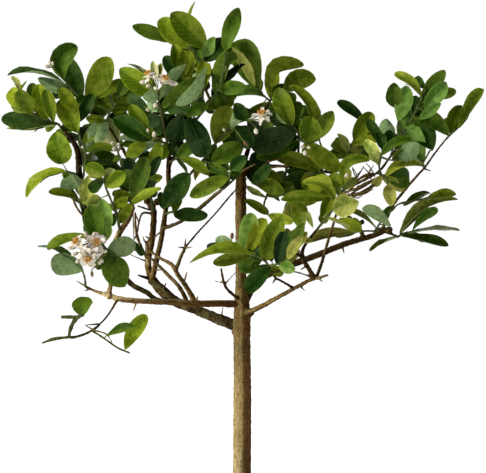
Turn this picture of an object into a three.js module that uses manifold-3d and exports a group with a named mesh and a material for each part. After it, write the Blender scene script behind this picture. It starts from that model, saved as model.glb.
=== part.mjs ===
// A lemon tree trained as a bonsai, in a plain round pot. Millimetres, +Z up, with the origin under the
// middle of the pot.
import * as THREE from "three";
import { mergeVertices } from "three/addons/utils/BufferGeometryUtils.js";
import Module from "manifold-3d";

const wasm = await Module();
wasm.setup();

// Pot and soil
const potHeight = 96;
const potRimRadius = 112;
const potFootRadius = 84;
const potWall = 7;
const potFloor = 9;
const soilTop = 87;
const seatGap = 0.3;

// The photograph sees the tree level, from the front: a pixel there is this long at the trunk
const pixel = 1.2;
const photoWidth = 486;
const photoHeight = 473;
const viewDistance = 2200;
const trunkColumn = 241.5;
const soilRow = 500;
const viewHeight = soilTop + (soilRow - photoHeight / 2) * pixel;
const viewAcross = (photoWidth / 2 - trunkColumn) * pixel;

// Leaves
const fullLeaf = 43;
const leafBreadthShare = 0.44;
const ribThickness = 1.5;
const petioleRadius = 0.85;
const leafArch = 0.035;
const marginLift = 0.06;
const leafClearance = 0.45;
const siblingOverlap = 3;
const depthSteps = [0, 7, -7, 14, -14, 21, -21, 28, -28, 36, -36, 44, -44];
const underside = 6;

// Blossoms and buds
const petalLength = 13;
const petalBreadth = 6.4;
const petalThickness = 1.4;
const receptacleRadius = 2.4;
const stamenHeight = 5.5;
const antherCount = 4;
const budRadius = 2.1;
const budLength = 7;

// Wood: name, the limb it grows from, and its points as column, row, depth and radius. Depth and radius are
// in millimetres, and a depth below 0 is nearer to the viewer. A limb starts on the axis of the one it
// grows from.
const limbs = [
  ["trunk", null, [
    [241.5, 545, 0, 11.4], [241.5, 503, 0, 12.8], [241.5, 494, 0, 11.6], [241.5, 473, 0, 10.3],
    [242, 400, 0, 10.2], [242, 340, 0, 10], [242, 318, 0, 10.5], [241.5, 302, 0, 9], [241, 288, 0, 7],
    [241, 260, 0, 6.2], [241, 215, 0, 6], [241, 176, 0, 5.4], [241, 168, 0, 3.4]]],
  ["right_main", "trunk", [
    [244, 312, 0, 5.5], [249, 293, 10, 5.2], [263, 277, 24, 4.8], [288, 266, 40, 4.4], [315, 256, 56, 4],
    [345, 243, 70, 3.5], [372, 235, 80, 3], [386, 231, 84, 2.6]]],
  ["left_main", "trunk", [
    [240, 328, 0, 7.2], [222, 319, 20, 6.5], [205, 312, 40, 5.8], [190, 306, 56, 5.6], [176, 301, 68, 5.4],
    [163, 291, 76, 5.2], [151, 279, 80, 5]]],
  ["left_riser", "left_main", [
    [151, 279, 80, 4.4], [148, 262, 84, 4.2], [152, 240, 92, 4], [154, 213, 100, 3.8], [151, 203, 103, 3]]],
  ["left_inner_riser", "left_main", [
    [152, 280, 80, 3.6], [156, 262, 60, 3.1], [161, 243, 44, 2.8], [165, 225, 32, 2.5], [168, 208, 24, 2.3],
    [170, 190, 16, 2.1], [170, 170, 12, 1.9], [169, 152, 8, 1.7]]],
  ["low_left", "trunk", [
    [238, 304, 0, 4.6], [215, 303, -20, 4.2], [190, 303, -36, 4], [165, 302, -48, 3.8],
    [140, 301, -56, 3.4],
    [120, 299, -60, 3.5], [104, 294, -60, 3.2]]],
  ["low_left_end", "low_left", [[104, 294, -60, 2.4], [95, 291, -60, 1.9], [88, 288, -60, 1.5]]],
  ["outer_riser", "low_left", [
    [165, 303, -48, 2.8], [155, 299, -44, 2.7], [147, 292, -40, 2.8], [130, 283, -28, 3],
    [115, 262, -24, 3.1],
    [98, 240, -20, 3.2], [86, 212, -16, 3.1], [81, 190, -16, 3], [79, 172, -16, 3.2], [78, 155, -16, 2.9],
    [74, 143, -16, 2.4], [67, 134, -16, 2], [60, 126, -16, 1.7]]],
  ["tan_riser", "low_left", [
    [109, 295, -60, 2.5], [111, 281, -56, 2.3], [110, 265, -52, 2.2], [113, 248, -48, 2.2],
    [119, 233, -46, 2.1],
    [127, 220, -44, 2], [134, 207, -44, 1.9]]],
  ["low_inner", "low_left", [
    [188, 303, -36, 2.4], [180, 288, -12, 1.9], [170, 277, 8, 1.8], [160, 267, 24, 1.7],
    [147, 255, 40, 1.5],
    [134, 250, 52, 1.3]]],
  ["low_front", "low_left", [
    [196, 303, -36, 3], [187, 288, -44, 2.6], [178, 275, -52, 2.4], [172, 265, -52, 2.2],
    [160, 258, -48, 1.9],
    [148, 250, -40, 1.5]]],
  ["low_fork", "low_front", [[176, 271, -52, 2], [180, 259, -54, 1.8], [184, 250, -58, 1.7],
    [186, 246, -60, 1.6]]],
  ["long_thin", "low_fork", [
    [186, 247, -60, 1.4], [200, 230, -40, 1.3], [215, 214, -12, 1.3], [231, 195, 20, 1.3],
    [240, 186, 32, 1.2],
    [250, 175, 44, 1.1]]],
  ["front_twig", "trunk", [[241, 301, 0, 1.8], [229, 291, -22, 1.4], [224, 283, -36, 1.3],
    [222, 268, -40, 0.9]]],
  ["front_twig_left", "front_twig", [[224, 283, -36, 1.1], [214, 281, -40, 0.8]]],
  ["front_twig_right", "front_twig", [[225, 284, -36, 1.1], [236, 272, -40, 0.8]]],
  ["left_spur", "left_main", [[222, 317, 20, 1.6], [223, 307, 8, 0.9]]],
  ["right_low", "trunk", [
    [246, 315, 0, 3.8], [262, 306, -28, 3.2], [280, 296, -56, 2.8], [295, 288, -80, 2.5],
    [310, 280, -100, 2.2],
    [318, 278, -108, 2], [328, 275, -116, 1.5]]],
  ["right_low_inner", "right_low", [
    [294, 289, -80, 2], [285, 283, -92, 1.6], [276, 278, -102, 1.6], [271, 272, -106, 1.6]]],
  ["right_low_bow", "right_low", [
    [314, 279, -104, 1.6], [306, 275, -108, 1.2], [290, 271, -108, 1.2], [275, 272, -106, 1.3],
    [271, 273, -106, 1.3]]],
  ["right_fork", "right_low", [
    [316, 278, -106, 2.2], [322, 262, -92, 2], [326, 248, -76, 1.9], [329, 238, -64, 1.8],
    [333, 225, -56, 1.7],
    [337, 212, -52, 1.6]]],
  ["right_hook", "right_low", [
    [315, 278, -106, 2.6], [307, 266, -112, 2.8], [302, 257, -116, 2.6], [304, 247, -112, 2],
    [311, 237, -108, 1.7],
    [319, 227, -104, 1.6]]],
  ["right_crown", "right_main", [
    [364, 238, 77, 2.9], [358, 226, 72, 2.6], [349, 217, 60, 2.4], [341, 207, 48, 2.3], [338, 198, 40, 2.2],
    [344, 190, 32, 2], [360, 182, 28, 1.9], [378, 172, 24, 1.7], [388, 160, 20, 1.6], [398, 146, 16, 1.5]]],
  ["right_strand", "right_crown", [[341, 206, 46, 1.8], [351, 194, 24, 1.4], [365, 186, 18, 1.3],
    [375, 180, 16, 1]]],
  ["right_strand_low", "right_strand", [[352, 194, 24, 1.3], [362, 192, 30, 1.1], [372, 187, 28, 0.9]]],
  ["right_strand_top", "right_crown", [[345, 190, 32, 1.4], [355, 178, 38, 1.2], [363, 168, 36, 0.9]]],
  ["right_upright", "right_crown", [[358, 183, 28, 1.4], [352, 168, 20, 0.9]]],
  ["long_right", "right_main", [
    [381, 232, 82, 2.4], [392, 207, 72, 2], [405, 190, 60, 1.8], [415, 178, 52, 1.7], [425, 167, 44, 1.6],
    [435, 153, 36, 1.4], [446, 139, 28, 1.3]]],
  ["right_tip", "right_main", [[385, 231, 84, 2.2], [396, 236, 88, 1.6]]],
  ["cross_left", "left_inner_riser", [
    [165, 229, 32, 2.2], [182, 221, 16, 1.9], [200, 208, 8, 1.8], [215, 197, 0, 1.7], [230, 183, -20, 1.6],
    [243, 171, -28, 1.4], [256, 164, -32, 1.2]]],
  ["crown_right", "trunk", [
    [241, 177, 0, 3], [256, 167, 16, 2.3], [275, 166, 28, 2.1], [300, 167, 40, 1.9], [318, 170, 48, 1.8],
    [335, 172, 52, 1.7], [345, 158, 56, 1.5]]],
  ["crown_rise", "crown_right", [[298, 167, 40, 2], [298, 155, 24, 1.8], [299, 143, 8, 1.6]]],
  ["crown_top", "trunk", [[241, 176, 0, 3.6], [248, 150, 24, 2.8], [258, 125, 40, 2.3],
    [267, 106, 44, 1.8]]],
  ["crown_top_left", "trunk", [
    [241, 178, 0, 3.4], [236, 150, 32, 2.6], [222, 120, 60, 2.3], [208, 95, 72, 2], [201, 76, 70, 1.7]]],
  ["slender", "left_inner_riser", [[168, 207, 24, 2], [180, 188, 8, 1.6], [192, 172, -4, 1.5]]],
  ["upper", "left_inner_riser", [[170, 168, 12, 2], [182, 140, 8, 1.7]]],
  ["far_riser", "left_riser", [
    [152, 207, 102, 3], [146, 195, 112, 2.5], [135, 172, 120, 2.2], [120, 145, 120, 2],
    [105, 122, 112, 1.7],
    [92, 111, 104, 1.4], [84, 103, 100, 1.3]]],
  ["hanging_left", "left_riser", [
    [152, 214, 100, 1.8], [143, 213, 92, 1.6], [139, 222, 80, 1.5], [137, 233, 68, 1.4],
    [133, 242, 60, 0.8]]],
  ["pale_left", "left_riser", [[148, 262, 84, 1.5], [138, 258, 68, 1], [127, 253, 52, 0.8]]],
  ["lowest", "low_left", [[118, 299, -60, 1.8], [108, 315, -72, 1.4], [99, 325, -80, 1.3]]],
];

// Thorns and dead stubs: the limb, where on it, the tip, and the radius at the foot
const thorns = [
  ["right_main", [342, 244], [344, 253, 60], 1.1],
  ["low_left", [137, 301], [133, 311, -62], 1.1],
  ["low_left", [196, 303], [198, 295, -44], 1.1],
  ["low_front", [184, 283], [187, 272, -58], 1.1],
  ["right_low", [300, 286], [305, 291, -98], 1],
  ["right_low", [318, 278], [323, 282, -116], 1],
  ["long_right", [424, 169], [431, 171, 38], 0.9],
  ["left_main", [151, 279], [138, 275, 70], 1.7],
  ["left_inner_riser", [155, 270], [161, 270, 56], 1.2],
  ["right_hook", [302, 257], [295, 253, -122], 1.6],
  ["low_fork", [185, 248], [192, 247, -66], 1],
  ["low_left_end", [90, 289], [84, 291, -62], 1],
];

// Leafy sprays. Each has shoots, as points of column, row, depth and radius, the first of which grows from
// the limb that "on" names and the others from an earlier shoot. Each leaf is the column and row of its foot
// and of its tip, its breadth as seen, in pixels, its tone, and how far it bows upwards, in pixels.
const sprays = [
  { name: "spray_far_left", on: "outer_riser",
    shoots: [[[60, 126, 0, 1.4], [49, 121, -20, 1.3], [35, 115, -28, 1.2], [23, 108, -36, 1.1],
      [19, 93, -40, 1]]],
    leaves: [
      [52, 122, 1, 119, 17, 1], [56, 126, 6, 126, 14, 1, -4], [47, 120, 38, 84, 16, 4],
      [54, 123, 45, 89, 12, 3],
      [40, 117, 31, 82, 13, 2], [33, 114, 18, 90, 14, 3], [23, 109, 11, 89, 15, 4],
      [19, 93, 12, 77, 6, 5]] },
  { name: "spray_left_top", on: "far_riser",
    shoots: [[[84, 103, 0, 1.4], [76, 93, 80, 1.3], [68, 84, 68, 1.2], [62, 78, 60, 1.1]]],
    leaves: [
      [81, 101, 69, 57, 20, 1], [64, 79, 78, 47, 20, 2, 8], [86, 101, 111, 57, 25, 3],
      [73, 94, 38, 78, 12, 6],
      [66, 84, 8, 71, 5, 1, 5]] },
  { name: "spray_left_inner", on: "outer_riser",
    shoots: [[[79, 167, 0, 1.4], [85, 163, -34, 1.3], [85, 150, -30, 1.2], [80, 138, -22, 1.2],
      [77, 122, -12, 1.1],
      [75, 104, -4, 1]]],
    leaves: [
      [85, 160, 98, 154, 9, 2], [85, 166, 106, 174, 13, 3], [86, 150, 94, 124, 9, 6],
      [81, 140, 84, 124, 10, 1],
      [78, 133, 61, 98, 20, 3], [78, 123, 93, 93, 12, 6], [76, 110, 61, 91, 13, 4]] },
  { name: "spray_left_high", on: "far_riser",
    shoots: [[[106, 123, 0, 1.5], [110, 112, 98, 1.3], [116, 104, 90, 1.2], [118, 96, 86, 1.1]]],
    leaves: [
      [107, 119, 113, 88, 13, 6], [116, 106, 123, 80, 14, 4], [118, 97, 130, 74, 12, 2],
      [112, 110, 94, 90, 12, 2],
      [108, 117, 112, 147, 20, 6], [106, 121, 86, 118, 9, 4], [112, 112, 132, 99, 15, 4]] },
  { name: "spray_left_shelf", on: "far_riser",
    shoots: [[[121, 147, 0, 1.5], [118, 152, 98, 1.3], [121, 160, 72, 1.2], [122, 169, 58, 1.1]]],
    leaves: [[118, 150, 80, 150, 9, 3], [121, 160, 90, 153, 14, 2], [121, 168, 91, 165, 12, 1],
      [122, 169, 108, 187, 13, 3]] },
  { name: "spray_left_side", on: "outer_riser",
    shoots: [[[79, 175, 0, 1.5], [72, 173, -28, 1.3], [66, 171, -40, 1.1]]],
    leaves: [[65, 167, 55, 131, 20, 3], [66, 171, 25, 196, 9, 4, 6], [76, 175, 64, 191, 13, 6],
      [72, 173, 84, 196, 10, 3]] },
  { name: "spray_left_low", on: "outer_riser",
    shoots: [[[85, 207, 0, 1.4], [80, 203, -32, 1.3], [74, 199, -38, 1.1]]],
    leaves: [[75, 200, 50, 190, 9, 1], [83, 205, 88, 178, 13, 6], [80, 204, 85, 228, 9, 1]] },
  { name: "spray_left_rise", on: "tan_riser",
    shoots: [[[120, 232, 0, 1.5], [117, 215, -58, 1.4], [111, 200, -56, 1.3], [106, 188, -54, 1.2],
      [104, 180, -54, 1.1]]],
    leaves: [
      [104, 180, 90, 190, 11, 3], [106, 187, 126, 172, 13, 4], [104, 181, 114, 168, 9, 6],
      [115, 212, 125, 188, 12, 5],
      [113, 205, 96, 214, 14, 3], [109, 194, 88, 205, 16, 4]] },
  { name: "spray_blossom_left", on: "tan_riser",
    shoots: [[[111, 256, 0, 1.6], [107, 251, -74, 1.4], [102, 244, -80, 1.3], [96, 240, -84, 1.2]]],
    leaves: [
      [97, 239, 90, 205, 17, 2], [106, 239, 102, 199, 15, 7], [97, 241, 47, 249, 10, 4],
      [107, 250, 136, 243, 18, 6],
      [108, 254, 125, 287, 26, 2]] },
  { name: "spray_low_left_end", on: "low_left_end",
    shoots: [[[88, 288, 0, 1.4], [85, 279, -64, 1.3], [82, 269, -68, 1.2]]],
    leaves: [[82, 270, 37, 247, 8, 1, 5], [83, 271, 50, 266, 20, 7], [82, 269, 64, 257, 9, 6]] },
  { name: "spray_lowest", on: "lowest",
    shoots: [
      [[99, 325, 0, 1.3], [85, 334, -92, 1.2], [70, 337, -96, 1.2], [72, 325, -100, 1.1],
      [78, 317, -102, 1],
        [84, 315, -104, 0.9]],
      [[70, 337, 0, 1.2], [54, 339, -98, 1], [42, 343, -100, 0.8]],
      [[78, 317, 0, 1], [61, 317, -104, 0.8]],
      [[92, 331, 0, 1.2], [105, 339, -90, 1.1], [118, 348, -92, 1], [130, 353, -94, 0.9]]],
    leaves: [[84, 315, 83, 294, 22, 4], [125, 350, 147, 315, 15, 4], [108, 341, 131, 324, 8, 2]] },
  { name: "spray_blossom_top", on: "left_inner_riser",
    shoots: [
      [[169, 153, 0, 1.6], [165, 132, -12, 1.4], [161, 112, -28, 1.3], [157, 92, -40, 1.1]],
      [[165, 134, 0, 1.2], [157, 118, -14, 1.1], [151, 113, -10, 1]],
      [[167, 143, 0, 1.3], [158, 142, -10, 1.1], [151, 140, -6, 1]]],
    leaves: [
      [158, 98, 119, 68, 19, 3], [158, 100, 145, 90, 15, 6], [152, 114, 126, 94, 11, 1],
      [157, 93, 131, 60, 6, 2],
      [159, 100, 184, 63, 12, 6], [161, 108, 200, 79, 14, 3], [153, 115, 178, 93, 13, 1],
      [151, 140, 113, 118, 18, 1], [153, 139, 130, 105, 14, 3],
      [155, 142, 120, 137, 9, 6], [165, 138, 168, 111, 17, 1], [164, 138, 145, 113, 15, 0],
      [160, 142, 152, 166, 12, 3]] },
  { name: "spray_top_left", on: "crown_top_left",
    shoots: [
      [[201, 76, 0, 1.6], [203, 60, 70, 1.4], [206, 48, 68, 1.2]],
      [[202, 66, 0, 1.3], [192, 50, 74, 1.2], [180, 42, 78, 1.1]]],
    leaves: [
      [206, 48, 171, 13, 24, 3, 3], [190, 48, 159, 19, 20, 4], [200, 54, 167, 37, 21, 1],
      [180, 44, 132, 27, 16, 2, -1],
      [190, 46, 191, 1, 6, 5], [204, 57, 214, 38, 12, 2], [203, 62, 229, 39, 18, 1]] },
  { name: "spray_upper", on: "upper",
    shoots: [
      [[182, 141, 0, 1.7], [196, 120, 0, 1.5], [205, 109, -10, 1.4], [214, 96, -20, 1.3],
      [221, 84, -26, 1.2],
        [224, 66, -30, 1.1], [226, 50, -32, 1]],
      [[196, 120, 0, 1.3], [190, 110, 14, 1.2], [186, 96, 18, 1.2], [185, 80, 18, 1.1], [181, 68, 18, 1]],
      [[204, 110, 0, 1.3], [203, 96, -30, 1.1], [205, 76, -36, 1]],
      [[195, 121, 0, 1.3], [188, 116, -26, 1.2], [181, 113, -34, 1]]],
    leaves: [
      [182, 70, 174, 45, 13, 4], [184, 75, 183, 50, 12, 4], [186, 82, 188, 50, 15, 4],
      [185, 86, 164, 56, 14, 1],
      [205, 76, 175, 104, 11, 6, 7], [204, 88, 204, 62, 14, 4], [203, 97, 190, 84, 12, 2],
      [206, 108, 234, 97, 16, 3],
      [188, 117, 205, 157, 22, 0], [181, 114, 175, 141, 20, 0], [189, 112, 167, 107, 13, 1],
      [186, 115, 208, 105, 11, 2],
      [215, 94, 229, 46, 14, 5],
      [226, 51, 239, 7, 17, 4], [221, 85, 244, 62, 12, 0], [218, 90, 244, 86, 13, 2]] },
  { name: "spray_upper_right", on: "crown_top",
    shoots: [
      [[267, 107, 0, 1.7], [272, 98, 42, 1.4], [279, 92, 40, 1.2], [284, 92, 38, 1]],
      [[270, 101, 0, 1.3], [262, 94, 16, 1.2], [257, 87, 4, 1]]],
    leaves: [
      [272, 97, 304, 65, 14, 3, 17], [284, 93, 316, 80, 19, 3, 6], [258, 88, 238, 39, 29, 3],
      [260, 91, 247, 56, 14, 5],
      [264, 97, 236, 96, 14, 6, 6], [265, 98, 240, 119, 12, 3], [271, 99, 273, 69, 14, 4],
      [262, 95, 271, 66, 13, 2]] },
  { name: "spray_crown_rise", on: "crown_rise",
    shoots: [
      [[299, 144, 0, 1.6], [298, 132, -6, 1.4], [292, 126, -18, 1.2], [286, 124, -24, 1]],
      [[299, 137, 0, 1.3], [306, 143, -14, 1.2], [312, 142, -22, 1]]],
    leaves: [
      [292, 126, 277, 87, 16, 4], [298, 130, 286, 93, 13, 3], [286, 124, 279, 108, 11, 6],
      [297, 131, 251, 147, 24, 0], [299, 141, 256, 158, 15, 2],
      [312, 142, 288, 86, 12, 4, 9], [312, 141, 333, 111, 15, 3], [307, 143, 312, 116, 20, 3],
      [304, 143, 341, 171, 18, 3]] },
  { name: "spray_blossom_mid", on: "slender",
    shoots: [
      [[192, 172, 0, 1.6], [205, 158, -12, 1.4], [215, 144, -20, 1.3], [228, 131, -28, 1.2],
      [240, 122, -32, 1.1],
        [248, 120, -36, 1]],
      [[212, 148, 0, 1.2], [216, 143, -36, 1]],
      [[202, 161, 0, 1.2], [210, 163, -28, 1]]],
    leaves: [
      [246, 120, 235, 104, 13, 1], [231, 129, 240, 110, 10, 6], [229, 130, 253, 138, 18, 0],
      [215, 144, 229, 106, 23, 3],
      [210, 163, 244, 144, 18, 2],
      [206, 162, 192, 180, 16, 3]] },
  { name: "spray_inner", on: "left_inner_riser",
    shoots: [[[170, 163, 0, 1.5], [175, 159, -10, 1.3], [179, 157, -18, 1.1]]],
    leaves: [[175, 159, 196, 141, 12, 2], [179, 157, 209, 172, 9, 3], [177, 158, 180, 138, 10, 0],
      [176, 159, 188, 183, 12, 3]] },
  { name: "spray_trunk_top", on: "crown_right",
    shoots: [
      [[268, 166, 0, 1.5], [270, 178, 22, 1.3], [267, 195, 14, 1.2], [264, 205, 10, 1.1], [268, 215, 4, 1]],
      [[270, 177, 0, 1.2], [261, 182, 10, 1.1], [252, 183, 2, 1]]],
    leaves: [
      [253, 183, 270, 166, 11, 1], [259, 182, 283, 191, 14, 3], [252, 183, 281, 200, 9, 3],
      [268, 214, 245, 200, 11, 1],
      [268, 215, 290, 222, 10, 3], [267, 196, 292, 185, 12, 2], [270, 177, 288, 179, 14, 2],
      [266, 197, 247, 184, 13, 0]] },
  { name: "spray_crown_right", on: "crown_right",
    shoots: [[[305, 168, 0, 1.5], [310, 173, 24, 1.3], [320, 172, 14, 1.1]]],
    leaves: [
      [307, 171, 287, 198, 26, 1], [320, 172, 277, 158, 14, 3, 5], [315, 173, 303, 188, 14, 4],
      [320, 172, 332, 196, 14, 2]] },
  { name: "spray_right_fork", on: "right_fork",
    shoots: [
      [[337, 212, 0, 1.5], [336, 204, -52, 1.3], [332, 198, -56, 1.1]],
      [[337, 205, 0, 1.2], [341, 196, -44, 1.1], [344, 187, -38, 1]]],
    leaves: [
      [333, 199, 314, 177, 21, 4], [332, 199, 281, 197, 11, 3], [336, 203, 303, 182, 9, 5, 8],
      [345, 187, 370, 160, 10, 3, 14]] },
  { name: "spray_hanging_mid", on: "crown_right",
    shoots: [[[287, 167, 0, 1.5], [284, 182, 14, 1.3], [283, 194, 2, 1.2], [290, 201, -10, 1.1],
      [298, 205, -18, 1]]],
    leaves: [[285, 197, 307, 211, 9, 3], [295, 203, 303, 228, 13, 3], [290, 201, 287, 226, 12, 3],
      [297, 205, 318, 196, 11, 4]] },
  { name: "spray_right_hook", on: "right_hook",
    shoots: [[[319, 227, 0, 1.5], [326, 218, -104, 1.3], [333, 210, -102, 1.1]]],
    leaves: [[333, 210, 358, 202, 19, 8], [322, 223, 331, 197, 12, 3], [327, 217, 350, 226, 11, 3]] },
  { name: "spray_right_main", on: "right_main",
    shoots: [
      [[373, 235, 0, 1.6], [377, 228, 66, 1.3], [380, 223, 58, 1.1]],
      [[375, 231, 0, 1.3], [366, 231, 52, 1.1], [356, 232, 46, 1]]],
    leaves: [
      [379, 224, 362, 204, 14, 6], [377, 228, 348, 211, 8, 3], [380, 223, 392, 205, 12, 4],
      [356, 233, 306, 238, 12, 3],
      [362, 231, 340, 219, 11, 4]] },
  { name: "spray_crown_end", on: "crown_right",
    shoots: [[[345, 159, 0, 1.6], [350, 148, 56, 1.4], [355, 138, 58, 1.3], [361, 128, 62, 1.2],
      [365, 120, 64, 1]]],
    leaves: [
      [349, 151, 338, 134, 12, 3], [347, 155, 334, 140, 13, 3], [354, 141, 372, 112, 12, 4],
      [352, 144, 379, 138, 10, 3],
      [364, 121, 340, 101, 10, 1], [363, 124, 352, 98, 11, 0], [351, 147, 372, 156, 12, 2]] },
  { name: "spray_right_crown", on: "right_crown",
    shoots: [
      [[377, 173, 0, 1.6], [382, 175, 4, 1.4], [387, 179, -6, 1.2], [388, 184, -10, 1]],
      [[381, 175, 0, 1.3], [379, 165, -2, 1.2], [381, 156, -6, 1.1], [383, 149, -8, 1]],
      [[381, 157, 0, 1.2], [390, 160, -8, 1.1], [399, 160, -8, 1]]],
    leaves: [
      [383, 149, 367, 118, 10, 0], [382, 152, 393, 131, 12, 1], [379, 166, 364, 140, 11, 5, 3],
      [381, 156, 411, 139, 11, 4],
      [385, 177, 422, 163, 9, 5, 6],
      [386, 178, 412, 176, 22, 1], [380, 176, 404, 190, 13, 3], [388, 184, 391, 206, 10, 3],
      [399, 160, 419, 145, 16, 6]] },
  { name: "spray_long_right", on: "long_right",
    shoots: [
      [[425, 168, 0, 1.5], [421, 162, 30, 1.3], [418, 157, 22, 1.1]],
      [[422, 164, 0, 1.2], [427, 156, 22, 1.1], [430, 150, 18, 1]]],
    leaves: [[418, 158, 398, 120, 21, 7], [430, 152, 416, 117, 19, 1], [421, 162, 400, 152, 13, 3]] },
  { name: "spray_right_end", on: "long_right",
    shoots: [[[446, 140, 0, 1.4], [452, 133, 26, 1.2], [457, 129, 22, 1]]],
    leaves: [[449, 136, 410, 111, 15, 3, 4], [457, 129, 482, 88, 13, 3], [452, 133, 463, 104, 13, 4]] },
  { name: "spray_right_top", on: "right_crown",
    shoots: [
      [[398, 147, 0, 1.6], [408, 125, 10, 1.4], [415, 112, 6, 1.3], [421, 100, 4, 1.2], [426, 89, 2, 1]],
      [[403, 135, 0, 1.3], [399, 124, -4, 1.2], [396, 112, -8, 1]]],
    leaves: [
      [422, 97, 395, 73, 9, 5], [426, 89, 412, 76, 9, 1], [421, 101, 445, 70, 12, 4],
      [416, 110, 446, 82, 18, 7],
      [423, 96, 457, 91, 11, 3], [411, 119, 416, 96, 10, 1], [397, 117, 407, 86, 15, 7],
      [396, 113, 395, 85, 15, 2],
      [401, 130, 386, 119, 15, 7], [413, 116, 440, 104, 11, 3]] },
  { name: "spray_right_tip", on: "right_tip",
    shoots: [[[396, 236, 0, 1.6], [402, 234, 88, 1.3], [408, 232, 86, 1.1]]],
    leaves: [
      [400, 234, 454, 193, 13, 3, 5], [405, 233, 438, 209, 10, 4, -2], [408, 233, 460, 231, 8, 3, -2],
      [402, 236, 449, 244, 10, 1, -3], [399, 235, 404, 208, 12, 2],
      [399, 236, 369, 251, 7, 3]] },
  { name: "spray_right_rise", on: "long_right",
    shoots: [[[390, 212, 0, 1.4], [399, 204, 60, 1.2], [413, 201, 54, 1.1], [428, 198, 50, 1]]],
    leaves: [[404, 206, 430, 190, 9, 3], [428, 199, 456, 194, 8, 3], [414, 201, 432, 213, 9, 2]] },
  { name: "spray_front", on: "right_low_inner",
    shoots: [
      [[272, 273, 0, 1.7], [266, 262, -112, 1.4], [258, 257, -112, 1.3], [245, 252, -106, 1.2],
      [232, 249, -100, 1.1]],
      [[268, 266, 0, 1.4], [278, 264, -120, 1.3], [286, 261, -124, 1.2], [290, 254, -124, 1]]],
    leaves: [
      [243, 252, 252, 213, 16, 7], [247, 253, 265, 218, 13, 4], [264, 261, 282, 215, 20, 5],
      [256, 256, 189, 260, 11, 4, 4],
      [250, 255, 213, 263, 11, 3], [232, 249, 206, 246, 9, 0], [233, 249, 216, 238, 12, 6],
      [262, 260, 236, 268, 15, 2],
      [277, 264, 284, 232, 12, 0], [282, 263, 297, 228, 11, 7], [287, 260, 301, 237, 10, 2],
      [290, 254, 304, 223, 9, 3],
      [290, 255, 312, 240, 9, 3], [271, 266, 245, 291, 15, 1], [279, 265, 296, 270, 11, 7]] },
  { name: "spray_cross", on: "cross_left",
    shoots: [[[229, 184, 0, 1.4], [229, 178, -36, 1.2], [231, 170, -44, 1]]],
    leaves: [[229, 178, 190, 197, 17, 2], [229, 176, 208, 172, 11, 1], [231, 170, 211, 160, 9, 0],
      [231, 170, 246, 156, 12, 3]] },
  { name: "spray_mid_left", on: "left_inner_riser",
    shoots: [[[167, 214, 0, 1.5], [172, 212, 8, 1.3], [175, 213, 0, 1.1]]],
    leaves: [[171, 212, 190, 173, 21, 7], [175, 213, 207, 215, 14, 1], [174, 213, 179, 196, 9, 3],
      [172, 213, 186, 231, 12, 3]] },
  { name: "spray_dark_stem", on: "left_riser",
    shoots: [[[153, 216, 0, 1.8], [150, 195, 80, 1.6], [140, 182, 48, 1.4], [132, 173, 20, 1.2],
      [127, 177, 8, 1]]],
    leaves: [[127, 177, 156, 142, 9, 6, 4], [134, 175, 128, 157, 14, 1], [141, 183, 163, 177, 10, 3],
      [130, 175, 112, 186, 11, 4]] },
  { name: "spray_left_mid", on: "tan_riser",
    shoots: [[[134, 208, 0, 1.6], [132, 201, -44, 1.4], [138, 192, -36, 1.3], [144, 184, -28, 1.2],
      [149, 177, -24, 1]]],
    leaves: [
      [133, 200, 146, 157, 18, 3], [149, 177, 159, 159, 13, 0], [145, 182, 156, 186, 9, 1],
      [131, 204, 161, 188, 8, 5],
      [132, 203, 120, 222, 9, 3], [137, 193, 124, 170, 14, 2]] },
];

// Sprays on the far side of the crown, where the photograph doesn't look: name, limb, shoot, and how many
// leaves
const rearSprays = [
  ["spray_rear_left", "far_riser", [[128, 159, 0, 1.6], [124, 150, 150, 1.4], [116, 138, 168, 1.2],
    [108, 126, 176, 1]], 6],
  ["spray_rear_outer", "outer_riser", [[80, 186, 0, 1.5], [84, 172, 24, 1.4], [82, 154, 52, 1.2],
    [78, 140, 66, 1]], 5],
  ["spray_rear_top", "crown_top_left", [[222, 120, 0, 1.6], [210, 108, 104, 1.4], [196, 96, 122, 1.2],
    [188, 84, 130, 1]], 6],
  ["spray_rear_mid", "crown_top", [[256, 130, 0, 1.6], [262, 124, 84, 1.4], [276, 116, 112, 1.2],
    [288, 112, 126, 1]], 6],
  ["spray_rear_right", "crown_right", [[326, 171, 0, 1.6], [328, 162, 92, 1.4], [322, 148, 116, 1.2],
    [318, 136, 126, 1]], 6],
  ["spray_rear_end", "right_crown", [[391, 156, 0, 1.5], [394, 146, 62, 1.3], [400, 132, 84, 1.1],
    [404, 122, 92, 1]], 5],
];

// Blossoms: name, spray, column, row, depth, the way it faces, and the size against a full one
const blossoms = [
  ["blossom_left_a", "spray_blossom_left", 80, 243, -98, [-0.55, -0.75, 0.45], 0.95],
  ["blossom_left_b", "spray_blossom_left", 98, 246, -100, [0.35, -0.85, 0.4], 0.95],
  ["blossom_left_c", "spray_blossom_left", 89, 259, -104, [-0.05, -0.9, -0.35], 1],
  ["blossom_top_a", "spray_blossom_top", 163, 84, -58, [0.45, -0.75, 0.5], 1],
  ["blossom_top_b", "spray_blossom_top", 150, 76, -52, [-0.45, -0.45, 0.8], 0.95],
  ["blossom_mid", "spray_blossom_mid", 262, 119, -46, [0.1, -0.9, 0.35], 1],
];

// Bud clusters: name, spray, column, row, depth, the way it points
const budClusters = [
  ["buds_left_top", "spray_left_top", 54, 69, 50, [-0.55, -0.45, 0.7]],
  ["buds_crown_right", "spray_crown_rise", 306, 147, -38, [-0.1, -0.85, -0.3]],
  ["buds_left_mid", "spray_left_shelf", 117, 148, 76, [-0.2, -0.9, 0.35]],
];

// Draws between 0 and 1, the same in every run
let drawState = 20260;
function draw() {
  drawState = (drawState * 16807) % 2147483647;
  return drawState / 2147483647;
}

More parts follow.
